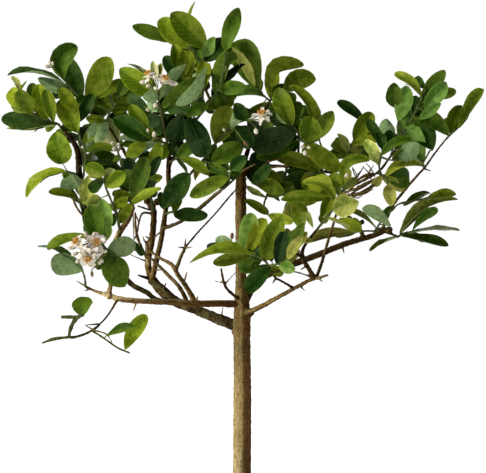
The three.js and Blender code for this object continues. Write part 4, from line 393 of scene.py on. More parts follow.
# Leafy sprays: name, limb, shoots as points of column, row, depth and radius, of which the first grows
# from the limb and the others from an earlier one, and leaves as the column and row of the foot and of
# the tip, the breadth as seen, in pixels, the tone, and for some also how far the leaf bows upwards, in
# pixels, and where along it the leaf is broadest. Each of these leaves is one of the solids, by the place
# of its tip.
SPRAYS = [
    ("spray_far_left", "outer_riser", [[[60, 126, 0, 1.4], [49, 121, -20, 1.3], [35, 115, -28, 1.2],
            [23, 108, -36, 1.1], [19, 93, -40, 1]]],
        [[52, 122, 1, 119, 17, 1], [56, 125, 6, 126, 9, 8, -3, 0.3], [47, 120, 38, 84, 16, 4],
         [54, 123, 45, 89, 12, 3], [40, 117, 31, 82, 13, 2], [33, 114, 18, 90, 14, 3],
         [23, 109, 11, 89, 15, 4], [19, 93, 12, 77, 5, 10, 1]]),
    ("spray_left_top", "far_riser", [[[84, 103, 0, 1.4], [76, 93, 80, 1.3], [68, 84, 68, 1.2],
            [62, 78, 60, 1.1]]],
        [[81, 101, 69, 57, 18, 1, -1], [64, 79, 78, 47, 20, 2, 10], [86, 101, 111, 57, 24, 3, 0],
         [73, 94, 38, 78, 12, 6], [66, 84, 8, 71, 5, 1, 3]]),
    ("spray_left_inner", "outer_riser", [[[79, 167, 0, 1.4], [85, 163, -34, 1.3], [85, 150, -30, 1.2],
            [80, 138, -22, 1.2], [77, 122, -12, 1.1], [75, 104, -4, 1]]],
        [[85, 160, 98, 154, 9, 2], [85, 166, 106, 174, 13, 3], [86, 150, 94, 124, 9, 6],
         [81, 140, 84, 124, 10, 1], [78, 133, 61, 98, 20, 3], [78, 123, 93, 93, 12, 1],
         [76, 110, 61, 91, 13, 4]]),
    ("spray_left_high", "far_riser", [[[106, 123, 0, 1.5], [110, 112, 98, 1.3], [116, 104, 90, 1.2],
            [118, 96, 86, 1.1]]],
        [[96, 121, 113, 88, 15, 6], [116, 106, 123, 80, 14, 4], [118, 97, 130, 74, 12, 2],
         [112, 110, 94, 90, 12, 3], [108, 117, 112, 147, 20, 9], [106, 121, 86, 118, 9, 4],
         [112, 112, 132, 99, 15, 4]]),
    ("spray_left_shelf", "far_riser", [[[121, 147, 0, 1.5], [118, 152, 98, 1.3], [121, 160, 72, 1.2],
            [122, 169, 58, 1.1]]],
        [[118, 150, 80, 150, 9, 3], [121, 160, 90, 153, 14, 2], [121, 168, 91, 165, 12, 1],
         [122, 169, 108, 187, 13, 3]]),
    ("spray_left_side", "outer_riser", [[[79, 175, 0, 1.5], [72, 173, -28, 1.3], [66, 171, -40, 1.1]]],
        [[63, 164, 55, 131, 22, 3, 0, 0.4], [66, 171, 25, 196, 9, 4, 6], [76, 175, 64, 191, 13, 6],
         [72, 173, 84, 196, 10, 6]]),
    ("spray_left_low", "outer_riser", [[[85, 207, 0, 1.4], [80, 203, -32, 1.3], [74, 199, -38, 1.1]]],
        [[80, 199, 50, 190, 7, 3, -1], [86, 205, 88, 178, 15, 10], [80, 204, 85, 228, 4, 1]]),
    ("spray_left_rise", "tan_riser", [[[120, 232, 0, 1.5], [117, 215, -58, 1.4], [111, 200, -56, 1.3],
            [106, 188, -54, 1.2], [104, 180, -54, 1.1]]],
        [[104, 180, 90, 190, 11, 1], [106, 187, 126, 172, 13, 4], [104, 181, 114, 168, 9, 10],
         [115, 212, 125, 188, 12, 5], [113, 205, 96, 214, 14, 3], [101, 198, 88, 205, 12, 10]]),
    ("spray_blossom_left", "tan_riser", [[[111, 256, 0, 1.6], [107, 251, -74, 1.4], [102, 244, -80, 1.3],
            [96, 240, -84, 1.2]]],
        [[97, 239, 90, 205, 17, 2], [106, 239, 102, 199, 15, 7], [97, 241, 47, 249, 8, 3, 4],
         [107, 250, 136, 243, 18, 6], [108, 254, 125, 287, 24, 2, -1, 0.5]]),
    ("spray_low_left_end", "low_left_end", [[[88, 288, 0, 1.4], [85, 279, -64, 1.3], [82, 269, -68, 1.2]]],
        [[82, 270, 37, 247, 4, 1, 5], [83, 271, 50, 266, 20, 6, 3], [82, 269, 64, 257, 9, 6]]),
    ("spray_lowest", "lowest", [[[99, 325, 0, 1.3], [85, 334, -92, 1.3], [70, 337, -96, 1.6],
            [72, 325, -100, 2.2], [78, 317, -102, 2.3], [84, 315, -104, 1.2]], [[70, 337, 0, 1.3],
            [54, 339, -98, 1.9], [42, 343, -100, 1]], [[78, 317, 0, 2], [61, 317, -104, 1.7]],
            [[92, 331, 0, 1.2], [105, 339, -90, 1.1], [118, 348, -92, 1], [130, 353, -94, 0.9]]],
        [[84, 315, 83, 294, 18, 2, 0, 0.45], [125, 350, 147, 315, 14, 4, 2],
         [106, 336, 131, 324, 7, 2, 0]]),
    ("spray_blossom_top", "left_inner_riser", [[[169, 153, 0, 1.6], [165, 132, -12, 1.4],
            [161, 112, -28, 1.3], [157, 92, -40, 1.1]], [[165, 134, 0, 1.2], [157, 118, -14, 1.1],
            [151, 113, -10, 1]], [[167, 143, 0, 1.3], [158, 142, -10, 1.1], [151, 140, -6, 1]]],
        [[158, 98, 119, 68, 19, 3], [158, 100, 145, 90, 15, 6], [152, 114, 126, 94, 11, 1],
         [157, 93, 131, 60, 6, 2], [159, 100, 184, 63, 7, 6], [161, 108, 200, 79, 14, 2],
         [153, 115, 178, 93, 13, 1], [151, 140, 113, 118, 18, 1], [153, 139, 130, 105, 14, 3],
         [155, 142, 120, 137, 9, 6], [165, 138, 168, 111, 17, 1], [164, 138, 145, 113, 15, 0],
         [160, 142, 152, 166, 12, 3]]),
    ("spray_top_left", "crown_top_left", [[[201, 76, 0, 1.6], [203, 60, 70, 1.4], [206, 48, 68, 1.2]],
            [[202, 66, 0, 1.3], [192, 50, 74, 1.2], [180, 42, 78, 1.1]]],
        [[206, 48, 171, 13, 24, 3, 1], [190, 48, 159, 19, 20, 4],
         [180, 44, 132, 27, 13, 2, 0], [190, 46, 191, 1, 3, 3], [204, 57, 214, 38, 12, 7],
         [203, 62, 229, 39, 18, 1]]),
    ("spray_upper", "upper", [[[182, 141, 0, 1.7], [196, 120, 0, 1.5], [205, 109, -10, 1.4],
            [214, 96, -20, 1.3], [221, 84, -26, 1.2], [224, 66, -30, 1.1], [226, 50, -32, 1]],
            [[196, 120, 0, 1.3], [190, 110, 14, 1.2], [186, 96, 18, 1.2], [185, 80, 18, 1.1],
            [181, 68, 18, 1]], [[204, 110, 0, 1.3], [203, 96, -30, 1.1], [205, 76, -36, 1]],
            [[195, 121, 0, 1.3], [188, 116, -26, 1.2], [181, 113, -34, 1]]],
        [[182, 70, 174, 45, 13, 4], [184, 75, 183, 50, 12, 4], [186, 82, 188, 50, 15, 4],
         [185, 86, 164, 56, 14, 1], [206, 66, 175, 104, 10, 6, -9], [204, 88, 204, 62, 14, 4],
         [203, 97, 190, 84, 12, 2], [206, 108, 234, 97, 16, 3], [188, 117, 205, 157, 22, 0],
         [181, 114, 175, 141, 20, 0], [189, 112, 167, 107, 13, 1], [186, 115, 208, 105, 11, 2],
         [215, 94, 229, 46, 14, 2], [226, 51, 239, 7, 15, 2, 2], [221, 85, 244, 62, 8, 0],
         [218, 90, 244, 86, 13, 2]]),
    ("spray_upper_right", "crown_top", [[[267, 107, 0, 1.7], [272, 98, 42, 1.4], [279, 92, 40, 1.2],
            [284, 92, 38, 1]], [[270, 101, 0, 1.3], [262, 94, 16, 1.2], [257, 87, 4, 1]]],
        [[272, 97, 304, 65, 14, 3, 20], [284, 93, 316, 80, 19, 3, 6], [258, 88, 238, 39, 27, 2, -1, 0.66],
         [260, 91, 247, 56, 14, 5], [264, 97, 236, 96, 10, 7, 7], [264, 102, 240, 119, 8, 3, -3],
         [271, 99, 273, 69, 14, 4]]),
    ("spray_crown_rise", "crown_rise", [[[299, 144, 0, 1.6], [298, 132, -6, 1.4], [292, 126, -18, 1.2],
            [286, 124, -24, 1]], [[299, 137, 0, 1.3], [306, 143, -14, 1.2], [312, 142, -22, 1]]],
        [[292, 126, 277, 87, 18, 3], [298, 130, 286, 93, 13, 2], [286, 124, 279, 108, 11, 6],
         [297, 131, 251, 147, 24, 0], [299, 141, 256, 158, 15, 2], [312, 142, 288, 86, 12, 4, 10],
         [312, 141, 333, 111, 15, 3], [307, 143, 312, 116, 20, 3], [304, 143, 341, 171, 17, 3]]),
    ("spray_blossom_mid", "slender", [[[192, 172, 0, 1.6], [205, 158, -12, 1.4], [215, 144, -20, 1.3],
            [228, 131, -28, 1.2], [240, 122, -32, 1.1], [248, 120, -36, 1]], [[212, 148, 0, 1.2],
            [216, 143, -36, 1]], [[202, 161, 0, 1.2], [210, 163, -28, 1]]],
        [[246, 120, 235, 104, 13, 1], [231, 129, 240, 110, 10, 6], [229, 130, 253, 138, 18, 0],
         [215, 144, 229, 106, 23, 3], [210, 163, 244, 144, 18, 2], [206, 162, 192, 180, 7, 8]]),
    ("spray_inner", "left_inner_riser", [[[170, 163, 0, 1.5], [175, 159, -10, 1.3], [179, 157, -18, 1.1]]],
        [[175, 159, 196, 141, 12, 2], [179, 157, 209, 172, 9, 3], [177, 158, 180, 138, 10, 0],
         [176, 159, 188, 183, 2.5, 3, 2]]),
    ("spray_trunk_top", "crown_right", [[[268, 166, 0, 1.5], [270, 178, 22, 1.3], [267, 195, 14, 1.2],
            [264, 205, 10, 1.1], [268, 215, 4, 1]], [[270, 177, 0, 1.2], [261, 182, 10, 1.1],
            [252, 183, 2, 1]]],
        [[253, 183, 270, 166, 11, 1], [259, 182, 283, 191, 14, 3], [252, 183, 281, 200, 6, 8],
         [268, 214, 245, 200, 8, 3], [268, 215, 290, 222, 10, 5], [267, 196, 292, 185, 12, 2],
         [270, 177, 288, 179, 14, 2], [266, 197, 247, 184, 6, 8, -4]]),
    ("spray_crown_right", "crown_right", [[[305, 168, 0, 1.5], [310, 173, 24, 1.3], [320, 172, 14, 1.1]]],
        [[307, 171, 287, 198, 26, 1], [320, 172, 277, 158, 14, 3, 5], [315, 173, 303, 188, 14, 4],
         [320, 172, 332, 196, 14, 2]]),
    ("spray_right_fork", "right_fork", [[[337, 212, 0, 1.5], [336, 204, -52, 1.3], [332, 198, -56, 1.1]],
            [[337, 205, 0, 1.2], [341, 196, -44, 1.1], [344, 187, -38, 1]]],
        [[333, 199, 314, 177, 21, 4], [332, 199, 281, 197, 11, 3], [336, 203, 303, 182, 9, 5, 8],
         [345, 187, 370, 160, 10, 3, 14]]),
    ("spray_hanging_mid", "crown_right", [[[287, 167, 0, 1.5], [284, 182, 14, 1.3], [283, 194, 2, 1.2],
            [290, 201, -10, 1.1], [298, 205, -18, 1]]],
        [[285, 197, 307, 211, 9, 3], [295, 203, 303, 228, 13, 3], [290, 201, 287, 226, 12, 8],
         [297, 205, 318, 196, 11, 4]]),
    ("spray_right_hook", "right_hook", [[[319, 227, 0, 1.5], [326, 218, -104, 1.3],
            [333, 210, -102, 1.1]]],
        [[333, 210, 358, 202, 19, 8], [322, 223, 331, 197, 12, 3], [327, 217, 350, 226, 3, 8, -2]]),
    ("spray_right_main", "right_main", [[[373, 235, 0, 1.6], [377, 228, 66, 1.3], [380, 223, 58, 1.1]],
            [[375, 231, 0, 1.3], [366, 231, 52, 1.1], [356, 232, 46, 1]]],
        [[391, 226, 362, 204, 12, 6], [377, 228, 348, 211, 5, 8, 1, 0.75], [380, 223, 392, 205, 6, 7],
         [356, 233, 306, 238, 10, 8], [362, 231, 340, 219, 11, 4]]),
    ("spray_crown_end", "crown_right", [[[345, 159, 0, 1.6], [350, 148, 56, 1.4], [355, 138, 58, 1.3],
            [361, 128, 62, 1.2], [365, 120, 64, 1]]],
        [[349, 151, 338, 134, 8, 8], [347, 155, 334, 140, 13, 3], [354, 141, 372, 112, 16, 4],
         [352, 144, 379, 138, 9, 4], [364, 121, 340, 101, 10, 1], [351, 147, 372, 156, 12, 2]]),
    ("spray_right_crown", "right_crown", [[[377, 173, 0, 1.6], [382, 175, 4, 1.4], [387, 179, -6, 1.2],
            [388, 184, -10, 1]], [[381, 175, 0, 1.3], [379, 165, -2, 1.2], [381, 156, -6, 1.1],
            [383, 149, -8, 1]], [[381, 157, 0, 1.2], [390, 160, -8, 1.1], [399, 160, -8, 1]]],
        [[383, 149, 367, 118, 10, 1], [382, 152, 393, 131, 12, 1], [379, 166, 364, 140, 11, 10, 3],
         [381, 156, 411, 139, 8, 2, 3], [385, 177, 422, 163, 9, 5, 6], [386, 178, 412, 176, 20, 2],
         [380, 176, 404, 190, 14, 8, 3], [388, 184, 391, 206, 12, 8], [399, 160, 419, 145, 16, 6]]),
    ("spray_long_right", "long_right", [[[425, 168, 0, 1.5], [421, 162, 30, 1.3], [418, 157, 22, 1.1]],
            [[422, 164, 0, 1.2], [427, 156, 22, 1.1], [430, 150, 18, 1]]],
        [[424, 162, 398, 120, 22, 7, 2], [422, 163, 400, 152, 9, 6]]),
    ("spray_right_end", "long_right", [[[446, 140, 0, 1.4], [452, 133, 26, 1.2], [457, 129, 22, 1]]],
        [[449, 136, 410, 111, 16, 2, 5], [457, 129, 482, 88, 11, 3, 0, 0.74],
         [452, 133, 463, 104, 15, 3, 3, 0.45]]),
    ("spray_right_top", "right_crown", [[[398, 147, 0, 1.6], [408, 125, 10, 1.4], [415, 112, 6, 1.3],
            [421, 100, 4, 1.2], [426, 89, 2, 1]], [[403, 135, 0, 1.3], [399, 124, -4, 1.2],
            [396, 112, -8, 1]]],
        [[422, 97, 395, 73, 9, 5, 3], [426, 89, 412, 76, 9, 1], [419, 105, 445, 70, 13, 2],
         [424, 111, 446, 82, 15, 7], [423, 96, 457, 91, 11, 3], [411, 119, 416, 96, 10, 1],
         [398, 121, 407, 86, 16, 7], [397, 108, 395, 85, 15, 2, -2], [389, 142, 386, 119, 15, 6],
         [419, 119, 440, 104, 9, 7]]),
    ("spray_right_tip", "right_tip", [[[396, 236, 0, 1.6], [402, 234, 88, 1.3], [408, 232, 86, 1.1]]],
        [[400, 234, 454, 193, 9, 8, 4], [412, 231, 438, 209, 8, 7, 2, 0.68], [408, 233, 460, 231, 4, 4, 1],
         [402, 236, 449, 244, 9, 2, -1], [399, 236, 369, 251, 3, 3]]),
    ("spray_right_rise", "long_right", [[[390, 212, 0, 1.4], [399, 204, 60, 1.2], [413, 201, 54, 1.1],
            [428, 198, 50, 1]]],
        [[404, 206, 430, 190, 7, 3], [428, 199, 456, 194, 8, 4, 2]]),
    ("spray_front", "right_low_inner", [[[272, 273, 0, 1.7], [266, 262, -112, 1.4], [258, 257, -112, 1.3],
            [245, 252, -106, 1.2], [232, 249, -100, 1.1]], [[268, 266, 0, 1.4], [278, 264, -120, 1.3],
            [286, 261, -124, 1.2], [290, 254, -124, 1]]],
        [[243, 252, 252, 213, 16, 7], [247, 253, 265, 218, 13, 4], [264, 261, 282, 215, 19, 3, 0, 0.45],
         [256, 256, 189, 260, 10, 3, 5, 0.3], [250, 255, 213, 263, 11, 3], [232, 249, 206, 246, 9, 0],
         [233, 249, 216, 238, 12, 6], [262, 260, 236, 268, 15, 2], [277, 264, 284, 232, 12, 0],
         [282, 263, 297, 228, 11, 7], [287, 260, 301, 237, 9, 8], [290, 254, 304, 223, 9, 2],
         [290, 255, 312, 240, 5, 8, 4], [271, 266, 245, 291, 15, 1], [279, 265, 296, 270, 11, 7]]),
    ("spray_cross", "cross_left", [[[229, 184, 0, 1.4], [229, 178, -36, 1.2], [231, 170, -44, 1]]],
        [[229, 178, 190, 197, 14, 3, 2], [229, 176, 208, 172, 11, 1], [231, 170, 211, 160, 9, 0],
         [231, 170, 246, 156, 12, 1]]),
    ("spray_mid_left", "left_inner_riser", [[[167, 214, 0, 1.5], [172, 212, 8, 1.3], [175, 213, 0, 1.1]]],
        [[163, 208, 190, 173, 20, 1, 0], [174, 215, 207, 215, 13, 1], [174, 213, 179, 196, 9, 3]]),
    ("spray_dark_stem", "left_riser", [[[153, 216, 0, 1.8], [150, 195, 80, 1.6], [140, 182, 48, 1.4],
            [132, 173, 20, 1.2], [127, 177, 8, 1]]],
        [[127, 177, 156, 142, 9, 6, 8], [134, 175, 128, 157, 14, 1], [141, 183, 163, 177, 10, 3],
         [130, 175, 112, 186, 11, 3]]),
    ("spray_left_mid", "tan_riser", [[[134, 208, 0, 1.6], [132, 201, -44, 1.4], [138, 192, -36, 1.3],
            [144, 184, -28, 1.2], [149, 177, -24, 1]]],
        [[133, 200, 146, 157, 16, 2], [149, 177, 159, 159, 9, 0], [145, 182, 156, 186, 9, 1],
         [131, 204, 161, 188, 8, 4], [132, 203, 120, 222, 9, 3], [137, 193, 124, 170, 14, 2]]),
]

# Sprays on the far side of the crown: name, limb, shoot, and how many leaves
REAR_SPRAYS = [
    ["spray_rear_left", "far_riser", [[128, 159, 0, 1.6], [124, 150, 150, 1.4], [116, 138, 168, 1.2],
        [108, 126, 176, 1]], 6],
    ["spray_rear_outer", "outer_riser", [[80, 186, 0, 1.5], [84, 172, 24, 1.4], [82, 154, 52, 1.2],
        [78, 140, 66, 1]], 5],
    ["spray_rear_top", "crown_top_left", [[222, 120, 0, 1.6], [210, 108, 104, 1.4], [196, 96, 122, 1.2],
        [188, 84, 130, 1]], 6],
    ["spray_rear_mid", "crown_top", [[256, 130, 0, 1.6], [262, 124, 84, 1.4], [276, 116, 112, 1.2],
        [288, 112, 126, 1]], 6],
    ["spray_rear_right", "crown_right", [[326, 171, 0, 1.6], [328, 162, 92, 1.4], [322, 148, 116, 1.2],
        [318, 136, 126, 1]], 6],
    ["spray_rear_end", "right_crown", [[391, 156, 0, 1.5], [394, 146, 62, 1.3], [400, 132, 84, 1.1],
        [404, 122, 92, 1]], 5],
]

# Their leaves that would show where the photograph shows white, by their number from 0
REAR_LEFT_OUT = {
    ("spray_rear_outer", 1), ("spray_rear_mid", 1), ("spray_rear_right", 1), ("spray_rear_right", 3),
    ("spray_rear_right", 5), ("spray_rear_end", 1), ("spray_rear_end", 4),
}

# Blossoms: name, spray, column, row, depth, the way it faces, the size and the breadth of its petals against
# a full one, and how many small inner petals it has
BLOSSOMS = [
    ["blossom_left_a", "spray_blossom_left", 80, 244, -98, [-0.55, -0.75, 0.45], 0.8, 1.5, 5],
    ["blossom_left_b", "spray_blossom_left", 96, 245, -100, [0.2, -0.85, 0.4], 0.95, 1.5, 7],
    ["blossom_left_c", "spray_blossom_left", 89, 257, -104, [-0.05, -0.9, -0.3], 0.9, 1.5, 7],
    ["blossom_top_a", "spray_blossom_top", 163, 84, -58, [0.3, -0.55, 0.8], 0.95, 0.95, 0],
    ["blossom_top_b", "spray_blossom_top", 151, 79, -52, [-0.45, -0.45, 0.8], 0.7, 0.9, 0],
    ["blossom_mid", "spray_blossom_mid", 262, 117, -46, [-0.1, -0.75, 0.6], 0.9, 0.85, 2],
]

# Bud clusters: name, spray, column, row, depth, the way it points
BUD_CLUSTERS = [
    ["buds_left_top", "spray_left_top", 54, 69, 50, [-0.55, -0.45, 0.7]],
    ["buds_crown_right", "spray_crown_rise", 306, 147, -38, [-0.1, -0.85, -0.3]],
    ["buds_left_mid", "spray_left_shelf", 117, 148, 76, [-0.2, -0.9, 0.35]],
]

# Single buds, by spray: column, row, depth, the way it points, the size against a full one, and True for
# one that has dried up
LOOSE_BUDS = {
    "spray_blossom_top": [[148, 110, -30, [-0.6, -0.7, 0.1], 0.9], [155, 106, -40, [0.3, -0.6, 0.8], 1.2],
        [154, 135, -26, [0.1, -0.5, 0.85], 1.2], [148, 131, -20, [-0.15, -0.5, 0.85], 0.8],
        [144, 82, -52, [-0.9, -0.4, -0.1], 1.3], [149, 86, -56, [-0.6, -0.7, -0.3], 1.2],
        [156, 88, -62, [-0.1, -0.9, -0.3], 1.2], [174, 84, -58, [0.9, -0.4, 0.1], 1.3]],
    "spray_blossom_mid": [[236, 116, -44, [0.5, -0.6, 0.6], 1.1], [224, 130, -42, [-0.3, -0.8, 0.5], 0.8],
        [246, 144, -48, [-0.4, -0.7, 0.6], 1.1, True], [256, 131, -50, [0.1, -0.7, -0.7], 1.3],
        [267, 112, -44, [0.6, -0.7, 0.4], 1.1]],
    "spray_blossom_left": [[71, 248, -100, [-0.9, -0.4, 0], 1.1], [75, 254, -104, [-0.8, -0.5, -0.3], 1.2],
        [78, 261, -106, [-0.6, -0.6, -0.5], 1], [76, 240, -98, [-0.7, -0.5, 0.5], 1.1],
        [86, 235, -98, [-0.1, -0.6, 0.8], 1.2], [94, 235, -100, [0.2, -0.6, 0.8], 1.1],
        [104, 251, -102, [0.7, -0.6, -0.1], 1.2], [87, 247, -104, [-0.1, -0.9, 0.3], 1.3],
        [82, 252, -106, [-0.4, -0.9, 0.1], 1.3], [99, 254, -104, [0.4, -0.9, -0.1], 1.3],
        [93, 251, -106, [0.2, -0.95, 0.1], 1.2], [89, 239, -100, [-0.1, -0.8, 0.6], 1.2],
        [104, 242, -98, [0.6, -0.7, 0.4], 1.1], [99, 262, -104, [0.4, -0.7, -0.6], 1.1],
        [101, 260, -104, [0.5, -0.6, -0.5], 1.2], [90, 250, -116, [0, -1, 0.2], 1.3],
        [84, 252, -114, [-0.2, -0.9, 0.1], 1.1], [95, 254, -114, [0.2, -0.9, -0.1], 1.1],
        [92, 274, -96, [0.1, -0.3, -0.9], 0.9, True]],
    "spray_front": [[232, 236, -104, [0.1, -0.5, 0.85], 1.1, True]],
    "spray_right_fork": [[346, 176, -40, [0.3, -0.6, 0.7], 1]],
}

# How light the bark of a limb is at its foot and at its end, from 0 for dark brown to 1 for pale tan.
# Others have the middle shade.
MIDDLE_SHADE = 0.25
STRAND_SHADE = 0.4
BARK_SHADES = {
    "trunk": (0.97, 0.28), "right_main": (0.3, 0.3), "left_main": (0.04, 0.02), "left_riser": (0.3, 0.22),
    "left_inner_riser": (0.4, 0.15), "broken_stub": (0.9, 0.7), "low_left": (0.38, 1),
    "low_left_end": (0.8, 0.4), "outer_riser": (0.12, 0), "tan_riser": (0.7, 0.6),
    "low_front": (0.65, 0.35), "right_low": (0.36, 0.4), "right_hook": (0.2, 0.1),
    "right_crown": (0.15, 0.15), "crown_right": (0.15, 0.15), "long_thin": (0.1, 0.1),
    "crown_top": (0.15, 0.1), "crown_top_left": (0.15, 0.1), "far_riser": (0.1, 0.05),
}

# Knots on the wood: column, row, depth and radius
KNOTS = [
    [234.8, 331, 2, 4.7], [250.5, 312.5, -3, 5.4], [151.5, 205, 101, 6], [147, 201, 99, 4.5],
    [157, 202, 94, 4.8], [362, 222, 72, 3.4], [109, 296, -61, 4.2], [242, 330, -6, 5.6],
    [303, 258, -115, 3.4], [389, 230, 84, 5], [379, 231, 82, 4.6], [153, 280, 79, 5.4],
    [246, 312, -4, 5.6],
]

# Leaf tones, by the number in a leaf's row
LEAF_TONES = [
    "#082801", "#1c3c02", "#395403", "#546806", "#677b0a", "#87962a",
    "#7a9060", "#5d8136", "#82883e", "#a3a77c", "#a6b65c",
]
PALE_UNDERSIDE = "#839a68"
SHOOT_GREEN = "#4d5f24"
SHOOT_BROWN = "#3e3620"


def seen(column, row, depth):
    """The place that the photograph sees at a column and row, at a depth behind the trunk."""
    spread = (VIEW_DISTANCE + depth) / VIEW_DISTANCE
    return Vector((
        VIEW_ACROSS + (column - PHOTO_WIDTH / 2) * PIXEL * spread,
        depth,
        VIEW_HEIGHT + (PHOTO_HEIGHT / 2 - row) * PIXEL * spread,
    ))


def sight_of(place):
    """The column and row at which the photograph sees a place."""
    spread = (VIEW_DISTANCE + place.y) / VIEW_DISTANCE
    return (
        PHOTO_WIDTH / 2 + (place.x - VIEW_ACROSS) / (PIXEL * spread),
        PHOTO_HEIGHT / 2 - (place.z - VIEW_HEIGHT) / (PIXEL * spread),
    )


def place_of(point):
    return seen(*point[:3])


def between(start, end, share):
    return [a + (b - a) * share for a, b in zip(start, end)]


def axis_point(paths, column, row, inset=0):
    """The point of some shoots or limbs nearest to a column and row, as column, row, depth and radius."""
    best, best_distance = None, math.inf
    for path in paths:
        for start, end in zip(path, path[1:]):
            run = (end[0] - start[0], end[1] - start[1])
            share = ((column - start[0]) * run[0] + (row - start[1]) * run[1]) / (run[0] ** 2 + run[1] ** 2)
            share = max(0, min(1 - inset / (math.hypot(*run) * PIXEL), share))
            point = between(start, end, share)
            distance = math.hypot(point[0] - column, point[1] - row)
            if distance < best_distance:
                best, best_distance = point, distance
    return best


# Lines and tubes


def smooth_line(places, radii):
    """Places and radii about LINE_STEP apart along a smooth line through some places."""
    knots = [Vector((*place, radius)) for place, radius in zip(places, radii)]
    knots = [knots[0] * 2 - knots[1], *knots, knots[-1] * 2 - knots[-2]]
    line = []
    for before, start, end, after in zip(knots, knots[1:], knots[2:], knots[3:]):
        count = max(1, round((end - start).length / LINE_STEP))
        for k in range(count):
            t = k / count
            line.append(0.5 * (
                2 * start
                + (end - before) * t
                + (2 * before - 5 * start + 4 * end - after) * t ** 2
                + (3 * start - before - 3 * end + after) * t ** 3
            ))
    line.append(knots[-2])
    return [Vector(knot[:3]) for knot in line], [knot[3] for knot in line]


def line_of(path):
    """The smooth line of a path of columns, rows, depths and radii."""
    return smooth_line([place_of(point) for point in path], [point[3] for point in path])


def stations_of(places, radii):
    """The stations of a tube: place, two directions across it, radius, and the length up to there."""
    across = UNALIGNED
    along = 0
    stations = []
    for i, (place, radius) in enumerate(zip(places, radii)):
        tangent = (places[min(i + 1, len(places) - 1)] - places[max(i - 1, 0)]).normalized()
        across = (across - tangent * across.dot(tangent)).normalized()
        if i:
            along += (place - places[i - 1]).length
        stations.append((place, across.copy(), tangent.cross(across), radius, along))
    return stations


def with_layers(bm):
    """Gives a mesh the layers that the leafy pieces use."""
    bm.loops.layers.uv.new("UVMap")
    bm.verts.layers.float_color.new("tint")
    bm.verts.layers.float.new("under")
    return bm


def to_mesh(bm, name="template"):
    mesh = bpy.data.meshes.new(name)
    bm.to_mesh(mesh)
    bm.free()
    return mesh


def to_scene(name, data):
    """Puts a mesh, a light or a camera into the scene."""
    thing = bpy.data.objects.new(name, data)
    bpy.context.scene.collection.objects.link(thing)
    return thing


def frame_of(direction):
    """A direction of length 1, and two directions across it."""
    facing = Vector(direction).normalized()
    across = Vector((0, 0, 1)).cross(facing).normalized()
    return facing, across, facing.cross(across)


def spoke(across, over, turn):
    return across * math.cos(turn) + over * math.sin(turn)


TUBES = {}


def tube_template(sides, runs):
    """A closed tube of radius 1 from height 0 to 1, with a ring at the end of each run."""
    if (sides, runs) not in TUBES:
        bm = with_layers(bmesh.new())
        bmesh.ops.create_cone(bm, cap_ends=True, segments=sides, radius1=1, radius2=1, depth=1)
        bmesh.ops.translate(bm, vec=(0, 0, 0.5), verts=bm.verts)
        if runs > 1:
            rising = [edge for edge in bm.edges if abs(edge.verts[0].co.z - edge.verts[1].co.z) > 0.5]
            bmesh.ops.subdivide_edges(bm, edges=rising, cuts=runs - 1)
        TUBES[sides, runs] = to_mesh(bm)
    return TUBES[sides, runs]


def grow(bm, template, place, finish=0, tint=None):
    """Adds a template to a mesh, with each vertex put where place() says, and returns the new vertices."""
    first_vert, first_face = len(bm.verts), len(bm.faces)
    bm.from_mesh(template)
    bm.verts.ensure_lookup_table()
    bm.faces.ensure_lookup_table()
    grown = bm.verts[first_vert:]
    for vert in grown:
        vert.co = place(vert.co)
    for face in bm.faces[first_face:]:
        face.material_index = finish
    if tint:
        layer = bm.verts.layers.float_color["tint"]
        for vert in grown:
            vert[layer] = tint
    return grown


def tube(bm, places, radii, sides, finish=0, tint=None):
    stations = stations_of(places, radii)
    runs = len(stations) - 1

    def place(co):
        centre, across, over, radius, _ = stations[round(co.z * runs)]
        return centre + (across * co.x + over * co.y) * radius

    return grow(bm, tube_template(sides, runs), place, finish, tint)


def knobby(places, radii, share, beat):
    """Radii that swell and shrink along a twig."""
    return [radius * (share + 0.5 * noise.noise(at * beat)) for at, radius in zip(places, radii)]


# Shader expressions


def paint(code):
    """The linear colour of a web colour code."""
    channels = [int(code[i:i + 2], 16) / 255 for i in (1, 3, 5)]
    return (*((c / 12.92 if c < 0.04045 else ((c + 0.055) / 1.055) ** 2.4) for c in channels), 1)


class Value:
    """An output socket in a finish. Operators on it add Math nodes."""

    def __init__(self, finish, socket):
        self.finish = finish
        self.socket = socket

    def maths(self, operation, *inputs):
        return self.finish.node("ShaderNodeMath", {"operation": operation}, inputs)

    def __add__(self, other):
        return self.maths("ADD", self, other)

    def __sub__(self, other):
        return self.maths("SUBTRACT", self, other)

    def __rsub__(self, other):
        return self.maths("SUBTRACT", other, self)

    def __mul__(self, other):
        return self.maths("MULTIPLY", self, other)

    def __pow__(self, other):
        return self.maths("POWER", self, other)

    def __abs__(self):
        return self.maths("ABSOLUTE", self)

    __radd__ = __add__
    __rmul__ = __mul__

    def fraction(self):
        return self.maths("FRACT", self)

    def least(self, other):
        return self.maths("MINIMUM", self, other)

    def rise(self, low, high):
        """0 below low, 1 above high, and smooth between them."""
        settings = {"interpolation_type": "SMOOTHSTEP"}
        inputs = {"Value": self, "From Min": low, "From Max": high}
        return self.finish.node("ShaderNodeMapRange", settings, inputs)

    def ramp(self, *stops):
        """A colour by the value, from pairs of a position and a colour code."""
        return self.finish.node("ShaderNodeValToRGB", {"stops": stops}, {"Fac": self})


